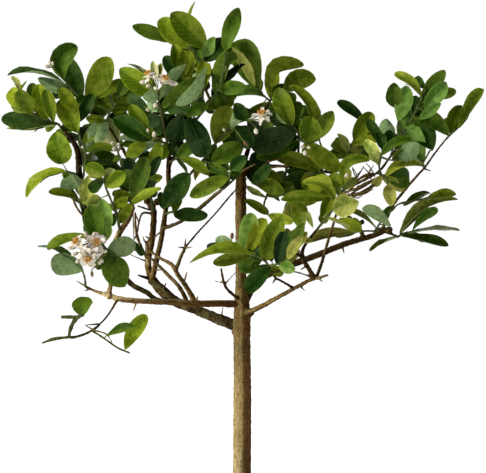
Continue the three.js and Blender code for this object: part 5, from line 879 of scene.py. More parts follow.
class Finish:
    """A material with one Principled shader."""

    def __init__(self, name, **sockets):
        self.material = bpy.data.materials.new(name)
        self.material.use_nodes = True
        self.tree = self.material.node_tree
        self.surface = self.tree.nodes["Principled BSDF"]
        self.set(**sockets)

    def node(self, kind, settings=None, inputs=None, output=0):
        made = self.tree.nodes.new(kind)
        for name, value in (settings or {}).items():
            if name == "stops":
                elements = made.color_ramp.elements
                while len(elements) < len(value):
                    elements.new(0.5)
                for element, (position, code) in zip(elements, value):
                    element.position = position
                    element.color = paint(code)
            else:
                setattr(made, name, value)
        pairs = inputs.items() if isinstance(inputs, dict) else enumerate(inputs or ())
        for key, value in pairs:
            self.put(made.inputs[key], value)
        return Value(self, made.outputs[output])

    def put(self, socket, value):
        if isinstance(value, Value):
            self.tree.links.new(value.socket, socket)
        else:
            socket.default_value = value

    def set(self, **sockets):
        for name, value in sockets.items():
            self.put(self.surface.inputs[name.replace("_", " ").title().replace("Ior", "IOR")], value)
        return self.material

    def attribute(self, name, output="Fac"):
        return self.node("ShaderNodeAttribute", {"attribute_name": name}, None, output)

    def place(self):
        return self.node("ShaderNodeTexCoord", None, None, "Object")

    def stretched(self, vector, scale):
        return self.node("ShaderNodeVectorMath", {"operation": "MULTIPLY"}, {0: vector, 1: scale})

    def parts(self, vector):
        split = self.node("ShaderNodeSeparateXYZ", None, {"Vector": vector})
        return [Value(self, output) for output in split.socket.node.outputs]

    def blade_parts(self):
        """How far along a blade and across it a place lies, from 0 to 1."""
        return self.parts(self.node("ShaderNodeUVMap", {"uv_map": "UVMap"}))[:2]

    def speckle(self, scale, detail=3, roughness=0.55, vector=None):
        """Soft noise, over the place itself unless a vector is given."""
        inputs = {"Vector": vector or self.place(), "Scale": scale, "Detail": detail, "Roughness": roughness}
        return self.node("ShaderNodeTexNoise", None, inputs, "Fac")

    def cells(self, vector, scale):
        return self.node("ShaderNodeTexVoronoi", None, {"Vector": vector, "Scale": scale}, "Distance")

    def mixed(self, share, first, second, blend="MIX"):
        settings = {"data_type": "RGBA", "blend_type": blend}
        return self.node("ShaderNodeMix", settings, {0: share, 6: first, 7: second}, 2)

    def toned(self, colour, *factors):
        """A colour with its channels multiplied."""
        return self.mixed(1, colour, (*factors, 1), "MULTIPLY")

    def bump(self, height, depth, strength=1):
        inputs = {"Height": height, "Distance": depth, "Strength": strength}
        return self.node("ShaderNodeBump", None, inputs, "Normal")


def leaf_finish():
    """Leathery leaf: a pale midrib, side veins, mottle with painted light and shade, and a paler matt
    underside.
    """
    finish = Finish("leathery_leaf", specular_ior_level=0.05)
    u, v = finish.blade_parts()
    across = abs(v - 0.5) * 2
    under = finish.attribute("under")
    tint = finish.attribute("tint", "Color")
    patches = finish.speckle(75, 5, 0.62)
    blotches = finish.speckle(190)
    fine = finish.speckle(900, 2)
    midrib = 1 - across.rise(0.015, 0.05)
    lanes = (u * 9 - across * 2.2 + patches * 0.5).fraction()
    veins = (1 - abs(lanes - 0.5).rise(0.02, 0.13)) * (1 - across.rise(0.75, 1)) * across.rise(0.02, 0.12)
    # Darker and lighter copies of the tint, mixed by noise: partly the leaf's own mottle, partly painted
    # shade and painted light. The lighter copy also holds a little beige painted sheen
    mottle_and_painted_shade = finish.toned(tint, 0.4, 0.5, 0.25)
    light = finish.mixed(0.035, finish.toned(tint, 1.36, 1.2, 1.1), paint("#bcae92"))
    # Painted shade on one half of the blade, as on a folded leaf, as strong as the tint's alpha says
    half = (v + (patches - 0.5) * 0.3).rise(0.42, 0.56) * finish.attribute("tint", "Alpha")
    mottle_and_painted_light = (patches * 0.55 + blotches * 0.45 + across * 0.1 - half * 0.24).rise(0.36, 0.66)
    blade = finish.mixed(mottle_and_painted_light, mottle_and_painted_shade, light)
    blade = finish.mixed(veins * 0.42, blade, finish.toned(tint, 1.55, 1.42, 1.3))
    blade = finish.mixed((1 - across.rise(0.05, 0.2)) * 0.3, blade, finish.toned(tint, 0.4, 0.5, 0.35))
    # The pale midrib, and a painted highlight along the rim
    pale_rib_and_rim_highlight = finish.mixed(0.12, finish.toned(tint, 2.1, 1.7, 1.8), paint("#98a850"))
    blade = finish.mixed((midrib * 0.6 + across.rise(0.88, 1) * 0.6).least(1), blade, pale_rib_and_rim_highlight)
    worn = finish.mixed(blotches.rise(0.35, 0.65), (0.68, 0.74, 0.62, 1), (1.12, 1.1, 1.08, 1))
    back = finish.mixed(1, finish.mixed(0.6, tint, paint(PALE_UNDERSIDE)), worn, "MULTIPLY")
    back = finish.mixed(veins * 0.35 + midrib * 0.4, back, paint("#a3b68c"))
    return finish.set(
        base_color=finish.mixed(under, blade, back),
        roughness=0.4 + under * 0.2 + patches * 0.12,
        normal=finish.bump(fine * 0.25 - veins * 0.8 - midrib * 0.9, 0.0004, 0.6),
    )


def shoot_finish():
    """Young green shoots, in darker and lighter patches."""
    finish = Finish("young_shoot", specular_ior_level=0.15)
    tint = finish.attribute("tint", "Color")
    patches = finish.speckle(420, vector=finish.stretched(finish.place(), (1, 1, 0.4)))
    return finish.set(
        base_color=finish.mixed(patches.rise(0.35, 0.62), finish.toned(tint, 0.45, 0.42, 0.4), tint),
        roughness=0.55 + patches * 0.2,
        normal=finish.bump(patches, 0.0005, 0.5),
    )


def bark_finish():
    """Finely fissured bark, tan on the trunk and darker on the branches, with painted light and painted
    shade.
    """
    finish = Finish("fissured_bark", specular_ior_level=0.05)
    grain = finish.attribute("grain", "Vector")
    shade, groove, weather = (finish.attribute(name) for name in ("shade", "groove", "weather"))
    fissures = finish.speckle(900, 5, 0.6, finish.stretched(grain, (1, 1, 0.16)))
    warts = finish.cells(finish.stretched(grain, (1, 1, 0.5)), 420)
    broad = finish.speckle(45, 4)
    specks = (1 - warts.rise(0.18, 0.36)) * broad.rise(0.36, 0.58)
    # The relief's height makes the bark darker in its hollows and lighter on its ridges: painted shade and
    # painted light
    level = shade * 0.86 + (fissures - 0.5) * 1.1 + (broad - 0.5) * 0.45 + groove * 0.16
    browns = ((0, "#1c1105"), (0.2, "#4a3613"), (0.45, "#82693c"), (0.72, "#b19b69"), (1, "#cdbc90"))
    colour = level.ramp(*browns)
    mossy = broad.rise(0.44, 0.62) * (1 - shade.rise(0.6, 0.85))
    colour = finish.mixed(mossy * 0.5, colour, paint("#5e5c38"))
    colour = finish.mixed(specks * 0.85, colour, paint("#261b08"))
    # Painted light on the side that faces the key lamp, broken up by noise
    painted_light_mask = (broad * 0.8 - weather - 0.2).rise(0.1, 0.9)
    colour = finish.mixed(painted_light_mask * 0.4, colour, finish.toned(colour, 1.5, 1.55, 1.7))
    # Painted shade on the side away from the key lamp, to the right and underneath
    painted_shade_mask = (weather + (broad - 0.5) * 0.7 + (fissures - 0.5) * 0.5).rise(0, 0.34)
    return finish.set(
        base_color=finish.mixed(painted_shade_mask * 0.9, colour, finish.toned(colour, 0.28, 0.18, 0.11)),
        roughness=0.88 - fissures * 0.1,
        normal=finish.bump(fissures - specks * 0.5, 0.0008, 0.8),
    )


def petal_finish():
    """Waxy petal: white above, with a pale mauve tinge below, and mauve towards the base and tip that is
    partly painted shade.
    """
    finish = Finish("waxy_petal", roughness=0.5, subsurface_weight=0.08)
    u, _ = finish.blade_parts()
    patches = finish.speckle(350)
    # Mauve: the petal's own tinge underneath, and partly painted shade towards the base and the tip
    flush_and_painted_shade = finish.attribute("under") * 0.55 + u.rise(0.6, 1) * 0.5 + u.rise(0.4, 0) * 0.35
    flush_and_painted_shade = (flush_and_painted_shade * patches.rise(0.3, 0.62)).least(1)
    cream = finish.mixed(finish.speckle(120).rise(0.4, 0.6), paint("#ddd7cf"), paint("#cbc0a4"))
    return finish.set(
        base_color=finish.mixed(flush_and_painted_shade, cream, paint("#a28a80")),
        normal=finish.bump(patches, 0.0004, 0.4),
    )


def plain_finish(name, first, second, scale, roughness):
    """Two close colours in soft patches, with a fine grain."""
    finish = Finish(name)
    patches = finish.speckle(scale, 4)
    return finish.set(
        base_color=finish.mixed(patches.rise(0.35, 0.65), paint(first), paint(second)),
        roughness=roughness + patches * 0.1,
        normal=finish.bump(patches, 0.0003, 0.6),
    )


def glaze_finish():
    """Slate-blue glaze that runs thin over the edges, over a foot of bare clay."""
    finish = Finish("slate_glaze", coat_weight=0.35, coat_roughness=0.12)
    _, _, height = finish.parts(finish.place())
    flow = finish.speckle(60, 5, vector=finish.stretched(finish.place(), (1, 1, 0.25)))
    dots = finish.cells(finish.place(), 420)
    thin = (height + flow * 0.006).rise(0.0915, 0.0965) + (1 - height.rise(0.012, 0.02)) * 0.7
    glaze = flow.ramp((0.2, "#22333c"), (0.5, "#35505c"), (0.75, "#52727c"))
    glaze = finish.mixed(thin.least(1) * 0.6, glaze, paint("#8c8468"))
    glaze = finish.mixed((1 - dots.rise(0.08, 0.2)) * 0.35, glaze, paint("#1c262b"))
    bare = 1 - (height + flow * 0.003).rise(0.0075, 0.0095)
    return finish.set(
        base_color=finish.mixed(bare, glaze, paint("#7a5a41")),
        roughness=0.22 + bare * 0.5 + flow * 0.12,
        normal=finish.bump(flow + bare * dots * 0.6, 0.0009, 0.5),
    )


def soil_finish():
    """Dark crumbly soil with paler grains."""
    finish = Finish("crumbly_soil", specular_ior_level=0.2)
    crumbs = finish.speckle(260, 6, 0.7)
    tint = finish.attribute("tint", "Color")
    return finish.set(
        base_color=finish.mixed(crumbs.rise(0.3, 0.7), finish.toned(tint, 0.4, 0.38, 0.36), tint),
        roughness=0.95,
        normal=finish.bump(crumbs, 0.0015, 0.9),
    )


LEAF = leaf_finish()
SHOOT = shoot_finish()
BARK = bark_finish()
PETAL = petal_finish()
FILAMENT = plain_finish("filament_white", "#efe6cf", "#d9c9a0", 500, 0.5)
ANTHER = plain_finish("anther_orange", "#cf9a2c", "#a0661a", 500, 0.75)
DRY_BUD = plain_finish("dry_bud", "#7a5a34", "#4e3820", 500, 0.8)
BUD = plain_finish("closed_petal", "#d8d1bd", "#ab9a84", 380, 0.5)
GLAZE = glaze_finish()
SOIL = soil_finish()


# Pieces


def to_piece(name, bm, finishes, node=None, sharp=None):
    """Makes a finished piece of a mesh in millimetres: it moves with the tree, and may stand for a node."""
    bmesh.ops.scale(bm, vec=(MM, MM, MM), verts=bm.verts)
    mesh = to_mesh(bm, name)
    for finish in finishes:
        mesh.materials.append(finish)
    mesh.shade_smooth()
    if sharp:
        mesh.set_sharp_from_angle(angle=math.radians(sharp))
    piece = to_scene(name, mesh)
    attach(piece, "root")
    if node:
        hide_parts(node)


# Wood: limbs, thorns and the stubs that carry the shoots

LIMB_PATHS = {}
for limb_name, parent, limb_points in LIMBS:
    limb_path = [list(point) for point in limb_points]
    if parent:
        foot = axis_point([LIMB_PATHS[parent]], *limb_path[0][:2])
        limb_path[0] = [*foot[:3], limb_path[0][3]]
    LIMB_PATHS[limb_name] = limb_path

stubs = []


def shoot_on_end(points, limb_path):
    """A shoot on the end of a limb grows straight on from it."""
    before, end = limb_path[-2:]
    run = (place_of(end) - place_of(before)).length
    radius = min(points[0][3], end[3])
    reaches = (-1, SEAT_GAP + STRAIGHT_REACH)
    first = [[*between(before[:3], end[:3], 1 + reach / run), radius] for reach in reaches]
    return first + points[1:]


def shoot_on_limb(points, on):
    """A shoot on the side of a limb starts in a stub of the wood, which reaches a little way out of it."""
    limb_path = LIMB_PATHS[on]
    start = axis_point([limb_path], *points[0][:2])
    if math.hypot(start[0] - limb_path[-1][0], start[1] - limb_path[-1][1]) < 0.5:
        return shoot_on_end(points, limb_path)
    foot, following = place_of(start), place_of(points[1])
    reach = start[3] + STUB_REACH
    radius = points[0][3]
    out = (following - foot).normalized()
    stubs.append(([foot, foot + out * reach / 2, foot + out * reach], radius))
    share = (reach - 1) / (following - foot).length
    return [[*between(start[:3], points[1][:3], share), radius], *points[1:]]


def paths_of(shoots, on):
    paths = [shoot_on_limb(shoots[0], on)]
    for points in shoots[1:]:
        start = axis_point(paths, *points[0][:2])
        paths.append([[*start[:3], points[0][3]], *points[1:]])
    return paths


def rear_leaves(name, shoot, count):
    """The leaves of a spray behind the crown, which stand round its shoot by the golden angle."""
    rows = []
    for k in range(count):
        if (name, k) in REAR_LEFT_OUT:
            continue
        at = (0.35 + 0.65 * (k + 1) / count) * (len(shoot) - 1)
        i = min(len(shoot) - 2, math.floor(at))
        column, row = between(shoot[i][:2], shoot[i + 1][:2], at - i)
        turn = k * GOLDEN_ANGLE
        reach = REAR_LEAF_REACH + 5 * math.cos(3 * turn)
        tip = (column + reach * math.cos(turn), row - 9 - reach * 0.7 * math.sin(turn))
        rows.append([column, row, *tip, REAR_LEAF_BREADTH, REAR_LEAF_TONE, 0])
    return rows


all_sprays = {name: (paths_of(shoots, on), leaves) for name, on, shoots, leaves in SPRAYS}
for rear_name, on, shoot, count in REAR_SPRAYS:
    all_sprays[rear_name] = (paths_of([shoot], on), rear_leaves(rear_name, shoot, count))


def remeshed(bm):
    """A mesh with one even skin round everything in a bmesh."""
    core = to_mesh(bm)
    holder = to_scene("wood_core", core)
    skin = holder.modifiers.new("skin", "REMESH")
    skin.mode = "VOXEL"
    skin.voxel_size = VOXEL
    mesh = bpy.data.meshes.new_from_object(holder.evaluated_get(bpy.context.evaluated_depsgraph_get()))
    bpy.data.objects.remove(holder)
    bpy.data.meshes.remove(core)
    return mesh


def plain_wood():
    """The wood before its bark: a mesh, and marks along its limbs with the shade there."""
    core, fine = with_layers(bmesh.new()), with_layers(bmesh.new())
    marks = []

    def mark(places, radii, start, end):
        stations = stations_of(places, radii)
        for i, station in enumerate(stations):
            marks.append((*station, start + (end - start) * i / len(stations)))

    for name, path in LIMB_PATHS.items():
        places, radii = line_of(path)
        tube(core, places, radii, LIMB_SIDES)
        mark(places, radii, *BARK_SHADES.get(name, (MIDDLE_SHADE, MIDDLE_SHADE)))
    for places, radius in stubs:
        tube(core, places, [radius * share for share in STUB_TAPER], THORN_SIDES)
        mark(places, [radius] * len(places), MIDDLE_SHADE, MIDDLE_SHADE)
    for column, row, depth, radius in KNOTS:
        knot = bmesh.ops.create_icosphere(core, subdivisions=2, radius=radius)["verts"]
        bmesh.ops.translate(core, vec=seen(column, row, depth), verts=knot)
    for on, (column, row), tip, radius in THORNS:
        foot, end = place_of(axis_point([LIMB_PATHS[on]], column, row)), seen(*tip)
        places = [foot.lerp(end, share) for share in THORN_STATIONS]
        tube(core, places[:3], [radius * share for share in THORN_FOOT_TAPER], THORN_SIDES)
        tube(fine, places, [radius * share for share in THORN_TAPER], THORN_SIDES)
    for path in STRANDS:
        places, radii = line_of(path)
        tube(fine, places, knobby(places, radii, 1.1, 0.3), STRAND_SIDES)
        mark(places, radii, STRAND_SHADE, STRAND_SHADE)

    wood = bmesh.new()
    wood.from_mesh(remeshed(core))
    all_ways = {"use_axis_x": True, "use_axis_y": True, "use_axis_z": True}
    bmesh.ops.smooth_vert(wood, verts=wood.verts, factor=0.5, **all_ways)
    wood.from_mesh(to_mesh(fine))
    wood.normal_update()
    return wood, marks


def flare(vert, outwards):
    """Spreads the trunk's foot into lobes."""
    drop = ((FLARE_TOP - vert.co.z) / (FLARE_TOP - SOIL_TOP)) ** 2
    lobes = 0.45 + 0.55 * math.cos(FLARE_LOBES * math.atan2(outwards.y, outwards.x) + 1)
    side = Vector((outwards.x, outwards.y, 0)).normalized()
    vert.co += side * FLARE_REACH * min(1.4, drop) * max(0, lobes)


def build_wood():
    wood, marks = plain_wood()
    grain = wood.verts.layers.float_vector.new("grain")
    shade_layer = wood.verts.layers.float.new("shade")
    hollow_shade_layer = wood.verts.layers.float.new("groove")
    painted_shade_side_layer = wood.verts.layers.float.new("weather")
    tree = kdtree.KDTree(len(marks))
    for i, mark in enumerate(marks):
        tree.insert(mark[0], i)
    tree.balance()
    for vert in wood.verts:
        near = tree.find_n(vert.co, NEAR_MARKS)
        _, index, distance = min(near, key=lambda found: found[2] - marks[found[1]][3])
        centre, across, over, radius, along, shade = marks[index]
        outwards = vert.co - centre
        x, y = outwards.dot(across), outwards.dot(over)
        z = along + outwards.dot(across.cross(over)) + index % 7
        ridges = 1 - 2 * abs(noise.noise(Vector((x * 0.55, y * 0.55, z * 0.09 + 3))))
        fissure = noise.noise(Vector((x * 1.1, y * 1.1, z * 0.16)))
        groove = 0.6 * (ridges - 0.55) + 0.7 * fissure
        lumps = noise.noise(vert.co * 0.16) * min(1, radius / LUMP_RADIUS)
        knobs = noise.noise(vert.co * 0.3) * min(KNOB_HEIGHT, radius * 0.22)
        relief = min(1, radius / RELIEF_RADIUS) * (GROOVE_DEPTH * groove + LUMP_HEIGHT * lumps)
        vert.co += vert.normal * (relief + knobs)
        if vert.co.z < FLARE_TOP and distance > TRUNK_SKIN:
            flare(vert, outwards)
        vert[grain] = Vector((x, y, z)) * MM
        vert[shade_layer] = shade
        # The relief's height, kept so that the bark gets painted shade in its hollows and painted light on
        # its ridges
        vert[hollow_shade_layer] = groove
        # How far the wood faces away from the key lamp, which sets the bark's painted shade and painted
        # light
        vert[painted_shade_side_layer] = vert.normal.dot(PAINTED_SHADE_SIDE)
    to_piece("wood", wood, [BARK], "trunk_and_branches", 70)


# Leaves and shoots


def blade_template(steps, lanes):
    """A flat closed blade: x runs from its base to its tip, y across it, and z is 0 above and -1 below."""
    bm = with_layers(bmesh.new())
    bmesh.ops.create_grid(bm, x_segments=steps, y_segments=lanes, size=1)
    for vert in bm.verts:
        vert.co.x = (1 - math.cos(math.pi * (vert.co.x + 1) / 2)) / 2
    lower = bmesh.ops.extrude_face_region(bm, geom=bm.faces[:], use_keep_orig=True)["geom"]
    under = bm.verts.layers.float["under"]
    for vert in lower:
        if isinstance(vert, bmesh.types.BMVert):
            vert.co.z = -1
            vert[under] = 1
    bmesh.ops.recalc_face_normals(bm, faces=bm.faces)
    uv = bm.loops.layers.uv["UVMap"]
    for face in bm.faces:
        for loop in face.loops:
            loop[uv].uv = (loop.vert.co.x, loop.vert.co.y / 2 + 0.5)
    return to_mesh(bm)


BLADE = blade_template(LEAF_STEPS, LEAF_LANES)
PETAL_BLADE = blade_template(PETAL_STEPS, PETAL_LANES)


def full_outline(u, foot_power, tip_power):
    """How broad a leaf or petal is at a share of its length, against its broadest place."""
    if not 0.001 < u < 0.999:
        return 0
    widest = foot_power / (foot_power + tip_power)
    return (u / widest) ** foot_power * ((1 - u) / (1 - widest)) ** tip_power


def varied(colour, dice, spread):
    """A colour a little lighter or darker, and a little yellower or bluer."""
    light = 1 + dice.uniform(-spread, spread)
    warm = dice.uniform(-0.08, 0.08)
    return (colour[0] * light * (1 + warm), colour[1] * light, colour[2] * light * (1 - warm), 1)


def leaf(bm, foot, row, tip, dice):
    """A leaf between its foot on the shoot and its tip: arched, folded along its rib, waved at its edge."""
    base_column, base_row, _, _, breadth, tone, *rest = row
    bow = rest[0] if rest else 0
    fullest = rest[1] if len(rest) > 1 else FULLEST_AT + dice.uniform(-0.05, 0.05)
    base = seen(base_column, base_row, foot.y + 0.15 * (tip.y - foot.y))
    along = tip - base
    length = along.length
    along.normalize()
    facing = (TOWARDS_VIEWER - along * TOWARDS_VIEWER.dot(along)).normalized()
    upwards = along.cross(facing)
    if upwards.z < 0:
        upwards.negate()
    full_breadth = max(breadth * PIXEL, LEAF_BREADTH_SHARE * length)
    face_share = breadth * PIXEL / full_breadth
    tilt = math.sqrt(max(0, 1 - face_share ** 2)) * (-1 if tone == UNDERSIDE else 1)
    upper = facing * face_share + upwards * tilt
    if tone == UNDERSIDE:
        upper.negate()
    middle = base.lerp(tip, 0.5) + upper * 2 * LEAF_ARCH * length + upwards * 2 * bow * PIXEL
    half = full_breadth / 2
    fold = dice.uniform(0.08, 0.44)
    wave = dice.uniform(0.03, 0.13)
    beats = dice.uniform(1, 2.6)
    phase = dice.uniform(0, 2 * math.pi)
    twist = dice.uniform(-0.4, 0.4)
    lean = dice.uniform(-0.09, 0.09)
    curl = dice.uniform(-0.16, 0.05) * length
    plump = dice.uniform(1.05, 1.55) + (0.15 if tone >= UNDERSIDE else 0)
    foot_power, tip_power = plump * fullest, plump * (1 - fullest)
    notch, notch_beats = dice.uniform(0, 0.02), dice.uniform(1, 2.5)

    def place(co):
        u = co.x
        v = math.copysign(abs(co.y) ** 1.4, co.y)
        near, far = base.lerp(middle, u), middle.lerp(tip, u)
        tangent = (far - near).normalized()
        rib = near.lerp(far, u) + upper * curl * u ** 4
        side = upper.cross(tangent).normalized()
        normal = tangent.cross(side).normalized()
        turn = twist * (u - 0.5) * 2
        side, normal = spoke(side, normal, turn), spoke(normal, -side, turn)
        ripple = 1 + notch * math.sin(notch_beats * 2 * math.pi * u + phase * (2 if v > 0 else 1))
        width = half * LEAF_FULLNESS * full_outline(u, foot_power, tip_power) * ripple
        waved = wave * math.sin(beats * 2 * math.pi * u + phase + 2 * v) * v * v
        lift = width * (fold * abs(v) ** 1.2 + waved)
        rib_share = math.exp(-(v / 0.1) ** 2)
        thickness = (0.4 + 0.75 * rib_share * (1 - u)) * (1 - 0.4 * abs(v)) * (1 if width else 0.4)
        sunk = 0.22 * rib_share * (1 if width else 0)
        leant = v + lean * math.sin(math.pi * u)
        return rib + side * leant * width + normal * (lift - sunk + co.z * thickness)

    # The tint's alpha sets how much painted shade falls on one half of the blade
    tint = (*varied(paint(LEAF_TONES[tone]), dice, 0.18)[:3], dice.random() ** 2)
    grow(bm, BLADE, place, 0, tint)
    neck = base.lerp(middle, 0.06)
    places = [foot, foot.lerp(base, 0.6), base, neck]
    if (base - foot).length < 1:
        places = [foot, neck]
    radii = [PETIOLE_RADIUS * share for share in PETIOLE_TAPER[-len(places):]]
    tube(bm, places, radii, 6, 1, varied(paint(PETIOLE_GREEN), dice, 0.1))


def young_leaves(bm, path, dice):
    """Two or three little leaves round the growing end of a shoot."""
    before, end = place_of(path[-2]), place_of(path[-1])
    ahead = (end - before).normalized()
    _, across, over = frame_of(ahead)
    turn = dice.uniform(0, 2 * math.pi)
    for _ in range(dice.choice([2, 3])):
        turn += GOLDEN_ANGLE
        way = (ahead + spoke(across, over, turn) * dice.uniform(0.3, 0.9)).normalized()
        tip = end + way * YOUNG_LEAF_LENGTH * dice.uniform(0.6, 1.1)
        row = [*sight_of(end), *sight_of(tip), dice.uniform(2.2, 3.6), dice.choice(YOUNG_TONES)]
        leaf(bm, end, row, tip, dice)


def leaf_behind(bm, foot, row, dice):
    """A leaf that grows away from the viewer behind another one, so that the crown is full from the side."""
    base_column, base_row, tip_column, tip_row, breadth = row[:5]
    bow = row[6] if len(row) > 6 else 0
    across, down = tip_column - base_column, tip_row - base_row
    reach = math.hypot(across, down)
    if reach < BEHIND_LEAST_REACH or breadth < BEHIND_LEAST_BREADTH:
        return
    share = dice.uniform(0.4, 0.6)
    rise = 4 * share * (1 - share) * bow * (1 if across > 0 else -1)
    column = base_column + across * share + down / reach * rise
    line = base_row + down * share - across / reach * rise
    end = seen(column, line, foot.y + dice.uniform(*BEHIND_DEPTHS))
    open_share = 0.45 + 0.5 * abs(across) / reach
    narrow = min(0.75 * breadth, LEAF_BREADTH_SHARE * (end - foot).length / PIXEL * open_share)
    leaf(bm, foot, [base_column, base_row, column, line, narrow, dice.choice(BEHIND_TONES), 0], end, dice)


def build_foliage():
    """Shoots with their leaves. An outer leaf ends at the corner of its solid that is seen at its tip."""
    dice = random.Random(LEAF_SEED)
    behind_dice = random.Random(BEHIND_SEED)
    for name, (paths, leaves) in all_sprays.items():
        bm = with_layers(bmesh.new())
        rear = name.startswith("spray_rear")
        for path in paths:
            places, radii = line_of(path)
            colour = between(paint(SHOOT_GREEN), paint(SHOOT_BROWN), dice.uniform(0.15, 0.6))
            tube(bm, places, knobby(places, radii, 1.08, 0.35), SHOOT_SIDES, 1, varied(colour, dice, 0.15))
            if rear:
                young_leaves(bm, path, dice)
        for seat, facing in stalk_seats.get(name, []):
            start, end = place_of(axis_point(paths, *seat[:2])), place_of(seat)
            places, radii = smooth_line([start, end - facing * 4, end], STALK_RADII)
            tube(bm, places, radii, SHOOT_SIDES, 1, varied(paint(STALK_GREEN), dice, 0.1))
        corners = [Vector(vert.co) * 1000 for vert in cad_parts[name].data.vertices]
        sights = [(sight_of(corner), corner) for corner in corners]
        for row in leaves:
            _, tip = min(sights, key=lambda found: math.dist(found[0], row[2:4]))
            foot = place_of(axis_point(paths, *row[:2], FOOT_INSET))
            leaf(bm, foot, row, tip, dice)
            if not rear and behind_dice.random() < BEHIND_SHARE:
                leaf_behind(bm, foot, row, behind_dice)
        for row in INNER_LEAVES.get(name, []):
            foot = place_of(axis_point(paths, *row[:2], FOOT_INSET))
            behind = INNER_DEPTH * dice.uniform(0.3, 1.2)
            leaf(bm, foot, row, seen(*row[2:4], foot.y + (row[8] if len(row) > 8 else behind)), dice)
        bmesh.ops.remove_doubles(bm, verts=bm.verts, dist=MERGE_REACH)
        to_piece(name.replace("spray", "foliage"), bm, [LEAF, SHOOT], name, 50)


# Blossoms and buds

DRAW_FACTOR = 16807
DRAW_MODULUS = 2147483647
draw_state = 20260


def draw():
    """The next of the draws between 0 and 1 that turn and raise the petals, the same as for the solids."""
    global draw_state
    draw_state = draw_state * DRAW_FACTOR % DRAW_MODULUS
    return draw_state / DRAW_MODULUS


stalk_seats = {}
for _, spray_name, column, row, depth, direction, *_ in [*BLOSSOMS, *BUD_CLUSTERS]:
    stalk_seats.setdefault(spray_name, []).append(([column, row, depth], Vector(direction).normalized()))


def ball(bm, centre, facing, radius, length, finish=0, subdivisions=2, point=0):
    """An egg shape along a direction, drawn to a point at its far end."""
    _, across, over = frame_of(facing)
    egg = bmesh.ops.create_icosphere(bm, subdivisions=subdivisions, radius=1)["verts"]
    for vert in egg:
        x, y, z = vert.co
        taper = 1 - point * max(0, z) ** 2
        vert.co = centre + (across * x + over * y) * radius * taper + facing * z * length / 2
    for face in {face for vert in egg for face in vert.link_faces}:
        face.material_index = finish
    return egg


def calyx(bm, foot, facing, radius, height):
    """A short green cup under a flower or bud."""
    places = [foot, foot + facing * height * 0.5, foot + facing * height]
    tube(bm, places, [radius * 0.5, radius * 0.85, radius], 10, 1, paint(CALYX_GREEN))


def petal(bm, heart, tip, side, facing, raised, length, breadth, dice):
    curl = dice.uniform(-0.12, 0.4)
    cup = dice.uniform(0.2, 0.6)
    crimp = dice.uniform(0, 2 * math.pi)
    beats = dice.uniform(7, 13)

    def place(co):
        u, v = co.x, co.y
        rib = heart.lerp(tip, u) + facing * (1.2 * raised * length * u * (1 - u) - curl * length * u ** 4)
        edge = 1 + 0.1 * math.sin(beats * u + crimp)
        width = PETAL_BREADTH / 2 * breadth * full_outline(u, 0.55, 0.4) * edge
        thickness = 0.9 - 0.4 * abs(v) if width else 0.3
        crimped = 0.26 * width * math.sin(beats * u + 3 * v + crimp) * (0.3 + abs(v))
        return rib + side * v * width + facing * (width * cup * v * v + crimped + co.z * thickness)

    grow(bm, PETAL_BLADE, place)


def build_blossom(name, column, row, depth, direction, size, breadth, inner_count, dice):
    facing, across, over = frame_of(direction)
    seat = seen(column, row, depth) + facing * SEAT_GAP
    heart = seat + facing * HEART_HEIGHT
    bm = with_layers(bmesh.new())
    for k in range(PETAL_COUNT):
        outwards = spoke(across, over, 2 * math.pi * k / PETAL_COUNT + draw())
        length = PETAL_LENGTH * size * PETAL_REACH
        raised = 0.25 + 0.3 * draw()
        tip = heart + outwards * length + facing * raised * length / 2
        side = facing.cross(outwards)
        petal(bm, heart + outwards * 0.4, tip, side, facing, raised, length, size * breadth, dice)
    for k in range(inner_count):
        outwards = spoke(across, over, k * GOLDEN_ANGLE + dice.random())
        length = PETAL_LENGTH * size * dice.uniform(0.45, 0.75)
        tip = heart + outwards * length + facing * length * dice.uniform(0.3, 0.9)
        side = (facing.cross(outwards) + facing * dice.uniform(-0.5, 0.5)).normalized()
        petal(bm, heart + outwards * 1.5, tip, side, facing, 0.5, length, size * breadth * 0.7, dice)
    places = [seat, seat + facing * RECEPTACLE_HEIGHT / 2, seat + facing * RECEPTACLE_HEIGHT]
    tube(bm, places, [*RECEPTACLE_WAIST, RECEPTACLE_RADIUS * size], 12)
    calyx(bm, seat - facing * SEAT_GAP, facing, CALYX_RADIUS, CALYX_HEIGHT)
    bmesh.ops.remove_doubles(bm, verts=bm.verts, dist=MERGE_REACH)
    to_piece(name.replace("blossom", "flower"), bm, [PETAL, SHOOT], name, 50)

    tuft = with_layers(bmesh.new())
    foot = seat + facing * (RECEPTACLE_HEIGHT + 0.05)
    for k in range(STAMEN_COUNT):
        outwards = spoke(across, over, 2 * math.pi * (k + 0.4 * dice.random()) / STAMEN_COUNT)
        height = STAMEN_HEIGHT * dice.uniform(0.7, 1.15)
        top = foot + outwards * dice.uniform(1.6, 4.2) + facing * height
        middle = foot + outwards * 1.9 + facing * height * 0.5
        tube(tuft, [foot + outwards * 1.7, middle, top], FILAMENT_RADII, 5, 1)
        way = (facing + outwards * 0.25).normalized()
        ball(tuft, top + facing * 0.5, way, ANTHER_RADIUS, ANTHER_LENGTH, subdivisions=1)
    pistil = [foot + facing * STAMEN_HEIGHT * share for share in (0, 0.6, 0.95)]
    tube(tuft, pistil, PISTIL_RADII, 8, 1)
    ball(tuft, foot + facing * STAMEN_HEIGHT, facing, STIGMA_RADIUS, STIGMA_LENGTH)
    stamens = name.replace("blossom", "stamens")
    to_piece(name.replace("blossom", "anthers"), tuft, [ANTHER, FILAMENT], stamens, 50)


